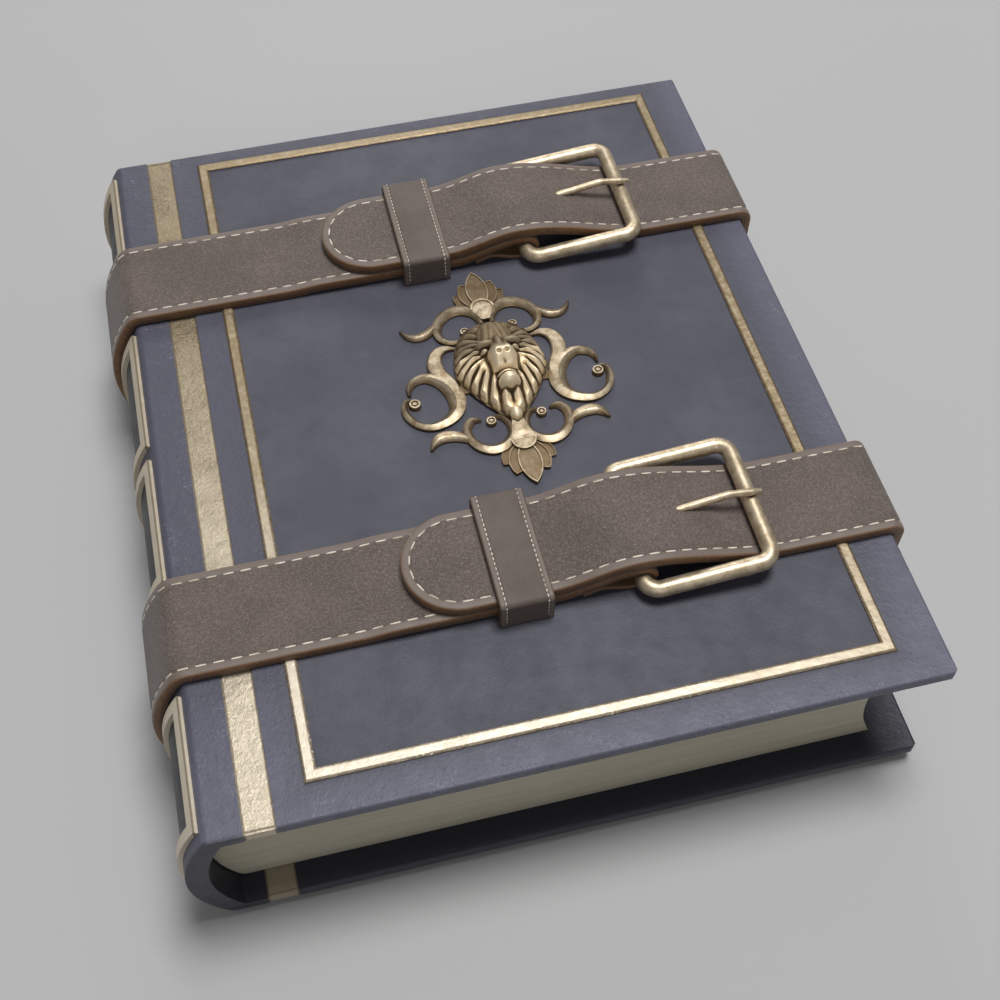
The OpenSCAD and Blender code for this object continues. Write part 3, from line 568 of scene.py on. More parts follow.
@dataclass(frozen=True)
class GiltLeaf:
    """Gold leaf laid on leather: crumpled, thin in places, with leather showing through, and painted light
    and shade.

    The painted highlight's span says where the leaf brightens from dull, and lean how much that follows x.
    worn is where specks of bare leather start, rail the width of a frame with chipped edges, lines the
    worn lines along a band, and groove how far in from a spine frame's side a groove's shade is painted.
    """

    name: str
    leaf: Colour = shown(150, 135, 108)
    bright: Colour = shown(200, 188, 167)
    bare: Colour = shown(88, 72, 48)
    shade: Colour = shown(112, 90, 58)
    glint: Colour = shown(250, 240, 216)
    painted_highlight_span: Point2 = (0.10, -0.15)
    drift: float = 90.0
    lean: float = 0.0
    crumple: float = 0.9
    depth: float = 0.22
    worn: float = 0.5
    metal: float = 0.6
    rail: float = 0.0
    lines: bool = False
    line_inset: float = 0.7
    groove: float = 0.0
    patch_size: float = 19.0
    speck_size: float = 0.5
    wrinkle_size: float = 6.0
    ragged_size: float = 1.1
    glint_size: float = 0.9
    glint_patch: float = 9.0
    chip_size: float = 2.4
    bare_share: float = 0.75

    def line(self, s: Shader, value: Socket, middle: float, half: float) -> Socket:
        """Thin worn line on both sides of a middle.

        Args:
            s: Shader of the gilding.
            value: Place across the lines.
            middle: Place of the middle.
            half: Distance of each line from the middle.

        Returns:
            1 on the lines, 0 elsewhere.
        """
        away = s.sum("ABSOLUTE", s.sum("SUBTRACT", value, middle))
        ragged = s.sum("ADD", away, s.sum("MULTIPLY", s.noise(self.ragged_size, 3), 0.5 * MM))
        off = s.sum("ABSOLUTE", s.sum("SUBTRACT", ragged, half))
        return s.rise(off, 0.6 * MM, 0.2 * MM)

    def material(self) -> Material:
        """Crumpled leaf with a painted highlight towards the tail, more rubbed towards the head, chipped
        along a rail's edges.

        Returns:
            The gilding.
        """
        s = Shader(self.name)
        x, y, z = s.split(s.place)
        crumple = s.noise(self.crumple, 4, 0.7)
        patch = s.noise(self.patch_size, 3, 0.6)
        # Painted highlight: the leaf turns bright towards the tail, and with lean towards the spine too.
        along = s.sum("ADD", y, s.sum("MULTIPLY", x, self.lean))
        along = s.sum("ADD", along, s.sum("MULTIPLY", s.sum("SUBTRACT", patch, 0.5), self.drift * MM))
        share = s.rise(along, *self.painted_highlight_span)
        colour = s.mix(share, self.leaf, self.bright)
        colour = s.mix(s.rise(crumple, 0.42, 0.72, (0.0, 0.4)), colour, self.bright)
        specks = s.rise(s.noise(self.speck_size, 4, 0.8), self.worn, self.worn + 0.14)
        wear_and_shade = s.sum("MULTIPLY", specks, s.rise(patch, 0.38, 0.62))
        # Fewer worn specks where the highlight is painted.
        wear_and_shade = s.sum("MULTIPLY", wear_and_shade, s.sum("SUBTRACT", 1.0, s.sum("MULTIPLY", share, 0.8)))
        if self.rail > 0:
            inward = s.sum("MULTIPLY", s.outside(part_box("front_gilt_frame")), -1 / MM)
            rim = s.sum("MINIMUM", inward, s.sum("SUBTRACT", self.rail, inward))
            colour = s.mix(s.rise(rim, 1.3, 0.2, (0.0, 0.6)), colour, self.shade)
            glints = s.rise(s.noise(self.glint_size, 3, 0.7), 0.56, 0.62)
            glints = s.sum("MULTIPLY", glints, s.rise(s.noise(self.glint_patch, 3), 0.46, 0.58))
            glints = s.sum("MULTIPLY", glints, s.sum("LESS_THAN", rim, 0.9))
            colour = s.mix(s.sum("MULTIPLY", glints, share), colour, self.glint)
            ragged = s.sum("ADD", rim, s.sum("MULTIPLY", s.noise(self.chip_size, 5, 0.8), -3.2))
            wear_and_shade = s.sum("MAXIMUM", wear_and_shade, s.rise(ragged, -1.1, -1.5, (0.0, 0.9)))
        if self.lines:
            low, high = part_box("front_gilt_band")
            middle, half = (low + high) / 2, (high - low) / 2
            wear_and_shade = s.sum("MAXIMUM", wear_and_shade, self.line(s, x, middle.x, half.x))
            wear_and_shade = s.sum("MAXIMUM", wear_and_shade, self.line(s, y, middle.y, half.y - self.line_inset * MM))
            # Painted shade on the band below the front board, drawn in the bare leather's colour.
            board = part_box("front_cover")[0].z
            under = s.rise(z, board - 2 * MM, board, (0.55, 0.0))
            wear_and_shade = s.sum("MAXIMUM", wear_and_shade, under)
        # Painted shade of a groove: a dark line near the side of the spine frames, drawn in the bare
        # leather's colour.
        if self.groove > 0:
            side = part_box(SPINE_FRAMES[0])[1].x - self.groove * MM
            off = s.sum("ABSOLUTE", s.sum("SUBTRACT", x, side))
            wear_and_shade = s.sum("MAXIMUM", wear_and_shade, s.rise(off, 0.42 * MM, 0.2 * MM))
        # Bare leather where the leaf is worn, and painted shade in the same colour.
        colour = s.mix(s.sum("MULTIPLY", wear_and_shade, self.bare_share), colour, self.bare)
        rough = s.rise(crumple, 0.3, 0.7, (0.36, 0.52))
        metal = s.sum("MULTIPLY", s.sum("SUBTRACT", 1.0, s.sum("MULTIPLY", wear_and_shade, 0.5)), self.metal)
        wrinkles = s.noise(self.wrinkle_size, 4, 0.6)
        direction = s.relief(crumple, self.depth, s.relief(wrinkles, 3 * self.depth))
        return s.done(colour, rough, metal, direction)


@dataclass(frozen=True)
class AntiqueBrass:
    """Satin brass with fine grain, and dark patina where polish doesn't reach.

    hollow is how near walls have to be to darken a place, grip how fast it darkens, share the share of
    metal and speck where dark specks start. crest and polish give heights between which the metal
    brightens, polish with a painted highlight, and crown a line it darkens past, with the height the line is
    drawn at.
    """

    name: str
    metal: Colour = shown(224, 208, 180)
    dull: Colour = shown(184, 164, 135)
    patina: Colour = shown(58, 44, 30)
    worn: Colour = shown(244, 230, 206)
    hollowed: Colour = shown(116, 95, 66)
    hollow: float = 2.5
    grip: float = 1.5
    rough: float = 0.34
    share: float = 0.8
    speck: float = 0.64
    crest: "Point2 | None" = None
    polish_and_highlight: "Point2 | None" = None
    crown: "Point3 | None" = None
    crown_lean: float = 0.62
    crown_drift: float = 4.0
    crown_share: float = 0.72
    crest_share: float = 0.85
    polish_and_highlight_share: float = 0.75
    ridged: bool = False
    grain_size: float = 0.5
    cloud_size: float = 3.5
    speck_size: float = 0.7
    casting_size: float = 2.6
    grain_depth: float = 0.045
    casting_depth: float = 0.06

    def material(self) -> Material:
        """Brass that darkens in its hollows.

        Returns:
            The metal.
        """
        s = Shader(self.name)
        grain = s.noise(self.grain_size, 4, 0.7)
        colour = s.mix(s.rise(s.noise(self.cloud_size, 5, 0.7), 0.35, 0.7), self.metal, self.dull)
        open_air = s.sum("POWER", s.shelter(self.hollow), self.grip)
        colour = s.mix(open_air, self.patina, colour)
        specks = s.noise(self.speck_size, 3, 0.75)
        specks = s.rise(specks, self.speck, self.speck + 0.1, (0.0, 0.55))
        colour = s.mix(specks, colour, self.patina)
        rough = s.sum("ADD", self.rough, s.sum("MULTIPLY", s.sum("SUBTRACT", grain, 0.4), 0.35))
        _, y, z = s.split(s.place)
        if self.ridged:
            hollow, _ = s.chart("relief")
            colour = s.mix(s.rise(hollow, 0.0, 0.4, (0.0, 0.84)), colour, self.patina)
            colour = s.mix(s.rise(hollow, -0.02, -0.3, (0.0, 0.85)), colour, self.worn)
        if self.crest is not None:
            sunk = s.rise(z, self.crest[1] * MM, self.crest[0] * MM, (0.0, self.crest_share))
            colour = s.mix(sunk, colour, self.hollowed)
        # Polished high points, also painted brighter to stand for their highlight.
        if self.polish_and_highlight is not None:
            bright = s.rise(z, self.polish_and_highlight[0] * MM, self.polish_and_highlight[1] * MM)
            colour = s.mix(s.sum("MULTIPLY", bright, self.polish_and_highlight_share), colour, self.worn)
            rough = s.sum("SUBTRACT", rough, s.sum("MULTIPLY", bright, 0.08))
        if self.crown is not None:
            start, stop, level = (place * MM for place in self.crown)
            up = s.sum("MULTIPLY", s.sum("SUBTRACT", z, level), self.crown_lean)
            drift = s.sum("MULTIPLY", s.noise(3, 3), self.crown_drift * MM)
            up = s.sum("ADD", s.sum("ADD", y, up), drift)
            dark = s.rise(up, start, stop, (0.0, self.crown_share))
            colour = s.mix(dark, colour, self.patina)
            rough = s.sum("ADD", rough, s.sum("MULTIPLY", dark, 0.16))
        closed_in = s.sum("SUBTRACT", 1.0, open_air)
        rough = s.sum("ADD", rough, s.sum("MULTIPLY", closed_in, 0.25), clamp=True)
        casting = s.relief(s.noise(self.casting_size, 3), self.casting_depth)
        direction = s.relief(grain, self.grain_depth, casting)
        return s.done(colour, rough, self.share, direction)


@dataclass(frozen=True)
class StrapLeather:
    """Brown strap leather: napped face, smooth rim outside the stitches and tan cut edges."""

    name: str
    face: Colour = shown(101, 88, 81)
    nap: Colour = shown(152, 142, 136)
    shade: Colour = shown(70, 57, 50)
    rim: Colour = shown(116, 104, 96)
    edge: Colour = shown(128, 93, 61)
    seam: Colour = shown(76, 54, 36)
    flesh: Colour = shown(104, 78, 55)
    stitch_in: float = 3.0
    napped: float = 1.0
    cloud_size: float = 24.0
    nap_size: float = 0.5
    scuff_size: float = 1.1
    rim_size: float = 5.0
    layer_size: float = 1.6
    wave_size: float = 6.0
    nap_depth: float = 0.16
    wave_depth: float = 0.2
    gloss: float = 0.4

    def material(self) -> Material:
        """Leather whose face, rim and cut edge follow the piece's own chart.

        Returns:
            The leather.
        """
        s = Shader(self.name)
        rim_mm, depth = s.chart("leather")
        wide = s.noise(self.cloud_size, 4, 0.6)
        fine = s.noise(self.nap_size, 4, 0.85)
        face = s.mix(s.rise(wide, 0.35, 0.68), self.face, s.mix(0.5, self.face, self.shade))
        nap = s.rise(fine, 0.47, 0.64, (0.0, 0.66 * self.napped))
        face = s.mix(nap, face, self.nap)
        scuffs = s.rise(s.noise(self.scuff_size, 4, 0.8), 0.62, 0.4, (0.0, 0.5 * self.napped))
        face = s.mix(scuffs, face, self.shade)
        inner = s.rise(rim_mm, self.stitch_in - 0.7, self.stitch_in + 0.2)
        clouds = s.rise(s.noise(self.rim_size, 4), 0.3, 0.75)
        band = s.mix(clouds, self.rim, s.mix(0.4, self.rim, self.face))
        colour = s.mix(inner, band, face)
        colour = s.mix(s.rise(rim_mm, 0.9, 0.25, (0.0, 0.55)), colour, self.edge)
        layered = s.mix(s.rise(depth, 0.42, 0.6), self.edge, s.mix(0.55, self.edge, self.seam))
        fibres = s.rise(s.noise(self.layer_size, 5, 0.75), 0.4, 0.7, (0.0, 0.6))
        layered = s.mix(fibres, layered, self.seam)
        cut = s.sum("MULTIPLY", s.rise(rim_mm, 0.4, 0.08), s.rise(depth, 0.03, 0.14))
        colour = s.mix(cut, colour, layered)
        colour = s.mix(s.rise(depth, 0.9, 0.99), colour, self.flesh)
        channel = s.rise(s.sum("ABSOLUTE", s.sum("SUBTRACT", rim_mm, self.stitch_in)), 0.2, 0.8)
        rise = s.sum("MULTIPLY", fine, s.sum("ADD", s.sum("MULTIPLY", inner, 0.7), 0.15))
        height = s.sum("ADD", rise, s.sum("MULTIPLY", channel, 0.9))
        waves = s.relief(s.noise(self.wave_size, 4), self.wave_depth)
        direction = s.relief(height, self.nap_depth, waves)
        rough = s.sum("ADD", 0.5, s.sum("MULTIPLY", inner, 0.16 * self.napped))
        return s.done(colour, rough, 0.0, direction, specular=self.gloss, sheen=0.12 * self.napped)


@dataclass(frozen=True)
class Thread:
    """Waxed cream linen thread."""

    cream: Colour = shown(222, 212, 196)
    soiled: Colour = shown(176, 162, 142)
    strand_size: float = 0.5
    soil_size: float = 7.0
    depth: float = 0.1

    def material(self) -> Material:
        """Twisted thread.

        Returns:
            The thread.
        """
        s = Shader("waxed_thread")
        strands = s.noise(self.strand_size, 3, 0.6)
        colour = s.mix(s.rise(s.noise(self.soil_size, 3), 0.4, 0.7), self.cream, self.soiled)
        return s.done(colour, 0.62, 0.0, s.relief(strands, self.depth), sheen=0.1)


@dataclass(frozen=True)
class PageEdges:
    """Cut edges of old paper leaves."""

    paper: Colour = shown(190, 184, 166)
    aged: Colour = shown(172, 164, 144)
    gap: Colour = shown(140, 132, 112)
    leaf_size: float = 0.34
    stack_size: float = 3.4
    stain_size: float = 12.0
    depth: float = 0.2

    def material(self) -> Material:
        """Thin lines between leaves, one over the other.

        Returns:
            The paper.
        """
        s = Shader("page_edges")
        lines = s.noise(self.leaf_size, 2, 0.5, s.stretch(0.02, 0.02, 1.0))
        stacks = s.noise(self.stack_size, 3, 0.6, s.stretch(0.04, 0.04, 1.0))
        colour = s.mix(s.rise(stacks, 0.35, 0.7, (0.0, 0.5)), self.paper, self.aged)
        colour = s.mix(s.rise(lines, 0.56, 0.36, (0.0, 0.18)), colour, self.gap)
        stains = s.rise(s.noise(self.stain_size, 4), 0.5, 0.8, (0.0, 0.25))
        colour = s.mix(stains, colour, self.aged)
        height = s.sum("ADD", s.sum("MULTIPLY", lines, 0.5), s.sum("MULTIPLY", stacks, 0.6))
        return s.done(colour, 0.78, 0.0, s.relief(height, self.depth), specular=0.25)


@dataclass(frozen=True)
class StudioFloor:
    """Plain pale grey sweep under the book."""

    grey: Colour = shown(179, 179, 179)
    shade: Colour = shown(175, 175, 176)
    cloud_size: float = 240.0

    def material(self) -> Material:
        """Even matt grey.

        Returns:
            The floor's finish.
        """
        s = Shader("studio_floor")
        clouds = s.rise(s.noise(self.cloud_size, 2), 0.3, 0.7, (0.0, 0.25))
        colour = s.mix(clouds, self.grey, self.shade)
        return s.done(colour, 0.6, 0.0, specular=0.25)


def dress(obj: bpy.types.Object, finish: Material) -> None:
    """Gives every face of an object one finish.

    Args:
        obj: Object that is dressed.
        finish: Its finish.
    """
    slots = obj.data.materials
    if len(slots) == 0:
        slots.append(finish)
    for index in range(len(slots)):
        slots[index] = finish


def made_mesh(name: str, points: np.ndarray, faces: list[tuple[int, ...]]) -> bpy.types.Object:
    """New object from points in millimetres.

    Args:
        name: Name of the object.
        points: One row for each point.
        faces: Indices of each face's points.

    Returns:
        The object, linked to the scene and shaded smooth.
    """
    mesh = bpy.data.meshes.new(name)
    mesh.from_pydata((np.asarray(points) * MM).tolist(), [], faces)
    mesh.update()
    mesh.shade_smooth()
    made = bpy.data.objects.new(name, mesh)
    bpy.context.scene.collection.objects.link(made)
    return made


def add_chart(obj: bpy.types.Object, name: str, values: np.ndarray) -> None:
    """Stores two values for each point of a mesh, for its finish.

    Args:
        obj: Object that gets the values.
        name: Name of the chart.
        values: One row of two numbers for each point.
    """
    layer = obj.data.uv_layers.new(name=name)
    corners = np.empty(len(obj.data.loops), dtype=np.int32)
    obj.data.loops.foreach_get("vertex_index", corners)
    layer.data.foreach_set("uv", values.astype(np.float32)[corners].ravel())


def settle(obj: bpy.types.Object) -> None:
    """Turns an object's modifiers into its mesh.

    Args:
        obj: Object with the modifiers.
    """
    evaluated = obj.evaluated_get(bpy.context.evaluated_depsgraph_get())
    mesh = bpy.data.meshes.new_from_object(evaluated)
    old = obj.data
    obj.modifiers.clear()
    obj.data = mesh
    bpy.data.meshes.remove(old)


def joined_copy(frame: dict, node: str, name: str, sharp: float) -> bpy.types.Object:
    """Copy of a frame node with its facets joined, for a smooth finish.

    Args:
        frame: The loaded frame.
        node: Name of the node.
        name: Name of the copy.
        sharp: Angle in degrees over which an edge stays sharp.

    Returns:
        The copy, in the node's place.
    """
    mesh = frame["nodes"][node].data.copy()
    mesh.name = name
    work = bmesh.new()
    work.from_mesh(mesh)
    bmesh.ops.remove_doubles(work, verts=work.verts, dist=0.002 * MM)
    work.to_mesh(mesh)
    work.free()
    mesh.attributes.remove(mesh.attributes["custom_normal"])
    mesh.shade_smooth()
    mesh.set_sharp_from_angle(angle=math.radians(sharp))
    made = bpy.data.objects.new(name, mesh)
    bpy.context.scene.collection.objects.link(made)
    return made


@dataclass(frozen=True)
class Frame:
    """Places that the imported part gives, in millimetres."""

    x_fore: float
    x_spine: float
    z_front: float
    z_back: float

    @classmethod
    def read(cls) -> "Frame":
        """Reads the places from the boards and the spine."""
        front, back, spine = (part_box(node) for node in ("front_cover", "back_cover", "spine"))
        return cls(front[1].x / MM, spine[0].x / MM, front[1].z / MM, back[0].z / MM)

    @property
    def thick(self) -> float:
        """Thickness of the book over both boards."""
        return self.z_front - self.z_back

    @property
    def z_mid(self) -> float:
        """Height of the book's middle."""
        return (self.z_front + self.z_back) / 2


@dataclass(frozen=True)
class Station:
    """Inner and outer point of a leather strip at one place along it, in the plane that it runs in."""

    inner: Point2
    outer: Point2

    @classmethod
    def around(cls, middle: Point2, out: Point2, thick: float) -> "Station":
        """Makes a station about its middle.

        Args:
            middle: Middle of the leather.
            out: Outward direction, of length 1.
            thick: Thickness of the leather.

        Returns:
            The station.
        """
        h = thick / 2
        return cls((middle[0] - out[0] * h, middle[1] - out[1] * h),
                   (middle[0] + out[0] * h, middle[1] + out[1] * h))

    @property
    def thick(self) -> float:
        """Thickness of the leather here."""
        return math.dist(self.inner, self.outer)

    def out(self) -> Point2:
        """Outward direction."""
        t = self.thick
        return (self.outer[0] - self.inner[0]) / t, (self.outer[1] - self.inner[1]) / t


class Plane(Enum):
    """Plane that a strip of leather runs in."""

    SIDE = "x and z, with the width along y"
    END = "y and z, with the width along x"

    def place(self, point: Point2, across: float) -> Point3:
        """Turns a point of the plane into a point in space.

        Args:
            point: Point in the plane.
            across: Distance across the strip.

        Returns:
            The point as x, y and z.
        """
        if self is Plane.SIDE:
            return point[0], across, point[1]
        return across, point[0], point[1]


@dataclass
class LeatherStrip:
    """Strip of leather with rounded edges, swept along stations."""

    name: str
    stations: list[Station]
    plane: Plane
    middle: float
    width: float
    rounding: float = 0.85
    fine: tuple[float, ...] = (0.0, 0.18, 0.36, 0.54, 0.7, 0.8, 0.88, 0.94)
    coarse: tuple[float, ...] = (0.6, 0.3, 0.0)
    corner_steps: int = 4
    closed: bool = False
    round_end: bool = False
    end_steps: int = 40
    sharp: float = 50.0

    def half_profile(self, thick: float) -> list[Point2]:
        """Half of the strip's cross-section, from the middle of its outer face to that of its inner face.

        Args:
            thick: Thickness of the leather.

        Returns:
            Pairs of distance from the middle line and depth as a share of the thickness.
        """
        half = self.width / 2
        r = min(self.rounding, 0.46 * thick)
        reach = half - self.rounding
        turns = [math.pi / 2 * step / self.corner_steps for step in range(self.corner_steps + 1)]
        corner = [(half - self.rounding * (1 - math.sin(a)), r * (1 - math.cos(a)) / thick) for a in turns]
        rows = [(share * reach, 0.0) for share in self.fine] + corner
        rows.append((half, 0.5))
        rows += [(u, 1 - depth) for u, depth in reversed(corner)]
        rows += [(share * reach, 1.0) for share in self.coarse]
        return rows

    def build(self) -> bpy.types.Object:
        """Sweeps the strip and charts each point's distance from the rim and depth in the leather.

        Returns:
            The strip.
        """
        points: list[Point3] = []
        chart: list[Point2] = []
        half_rows = [self.half_profile(station.thick) for station in self.stations]
        count = len(half_rows[0])
        ring = 2 * count - 2
        for station, rows in zip(self.stations, half_rows):
            both = rows + [(-u, d) for u, d in rows[-2:0:-1]]
            for u, depth in both:
                spot = (between(station.outer[0], station.inner[0], depth),
                        between(station.outer[1], station.inner[1], depth))
                points.append(self.plane.place(spot, self.middle + u))
                chart.append((self.width / 2 - abs(u), depth))
        faces: list[tuple[int, ...]] = []
        total = len(self.stations)
        for i in range(total if self.closed else total - 1):
            a, b = i * ring, (i + 1) % total * ring
            for k in range(ring):
                n = (k + 1) % ring
                faces.append((a + k, b + k, b + n, a + n))
        if not self.closed:
            faces.append(tuple(range(ring - 1, -1, -1)))
            if self.round_end:
                self.add_round_end(points, chart, faces, (total - 1) * ring, count)
            else:
                faces.append(tuple((total - 1) * ring + k for k in range(ring)))
        made = made_mesh(self.name, np.array(points), faces)
        work = bmesh.new()
        work.from_mesh(made.data)
        bmesh.ops.recalc_face_normals(work, faces=work.faces)
        work.to_mesh(made.data)
        work.free()
        add_chart(made, "leather", np.array(chart))
        made.data.set_sharp_from_angle(angle=math.radians(self.sharp))
        return made

    def add_round_end(self, points: list, chart: list, faces: list, base: int, count: int) -> None:
        """Adds a half-round tip after the last station.

        Args:
            points: Points of the strip, which grows.
            chart: Chart of the strip, which grows.
            faces: Faces of the strip, which grow.
            base: Index of the last station's first point.
            count: Number of points in the half profile.
        """
        last = self.stations[-1]
        rows = self.half_profile(last.thick)
        near = [base + k for k in range(count)]
        far = [base] + [base + 2 * count - 2 - k for k in range(1, count - 1)] + [base + count - 1]
        previous = near
        for step in range(1, self.end_steps + 1):
            a = math.pi * step / self.end_steps
            if step == self.end_steps:
                current = far
            else:
                current = [near[0]]
                for u, depth in rows[1:-1]:
                    x = between(last.outer[0], last.inner[0], depth) - u * math.sin(a)
                    z = between(last.outer[1], last.inner[1], depth)
                    current.append(len(points))
                    points.append(self.plane.place((x, z), self.middle + u * math.cos(a)))
                    chart.append((self.width / 2 - u, depth))
                current.append(near[-1])
            for k in range(count - 1):
                corner = [previous[k], current[k], current[k + 1], previous[k + 1]]
                faces.append(tuple(dict.fromkeys(corner)))
            previous = current


@dataclass(frozen=True)
class StitchRow:
    """Row of thread stitches along a line on the leather."""

    name: str
    dash: float
    pitch: float
    thread: float
    lift: float
    sides: int = 6
    flat: float = 0.36
    rings: tuple[Point2, ...] = ((-1.0, 0.25), (-0.82, 0.8), (0.0, 1.0), (0.82, 0.8), (1.0, 0.25))
    look: float = 0.5

    @staticmethod
    def spot(at: float, run: np.ndarray, rows: np.ndarray) -> np.ndarray:
        """Row of three values at this length along a line."""
        return np.array([np.interp(at, run, rows[:, axis]) for axis in range(3)])

    def build(self, line: np.ndarray, out: np.ndarray) -> bpy.types.Object:
        """Lays one rounded dash of thread after another on the line, pressed flat where it meets the floor.

        Args:
            line: Points of the line in millimetres.
            out: Outward direction of the leather at each point.

        Returns:
            All dashes as one mesh.
        """
        steps = np.linalg.norm(np.diff(line, axis=0), axis=1)
        run = np.concatenate([[0.0], np.cumsum(steps)])
        number = int(run[-1] // self.pitch)
        points, faces = [], []
        for k in range(number):
            at = (k + 0.5) * self.pitch
            middle, up = self.spot(at, run, line), self.spot(at, run, out)
            ahead, back = self.spot(at + self.look, run, line), self.spot(at - self.look, run, line)
            along = (ahead - back) / np.linalg.norm(ahead - back)
            up = up - along * np.dot(up, along)
            up /= np.linalg.norm(up)
            side = np.cross(along, up)
            start = len(points)
            for reach, share in self.rings:
                for j in range(self.sides):
                    a = math.tau * j / self.sides
                    points.append(middle + along * reach * self.dash / 2 + up * self.lift * share
                                  + side * self.thread / 2 * share * math.cos(a)
                                  + up * self.thread * self.flat * share * math.sin(a))
            end = start + (len(self.rings) - 1) * self.sides
            for ring in range(start, end, self.sides):
                for j in range(self.sides):
                    a, b = ring + j, ring + (j + 1) % self.sides
                    faces.append((a, b, b + self.sides, a + self.sides))
            faces.append(tuple(start + j for j in range(self.sides - 1, -1, -1)))
            faces.append(tuple(end + j for j in range(self.sides)))
        placed = np.array(points)
        placed[:, 2] = np.maximum(placed[:, 2], 0.0)
        return made_mesh(self.name, placed, faces)


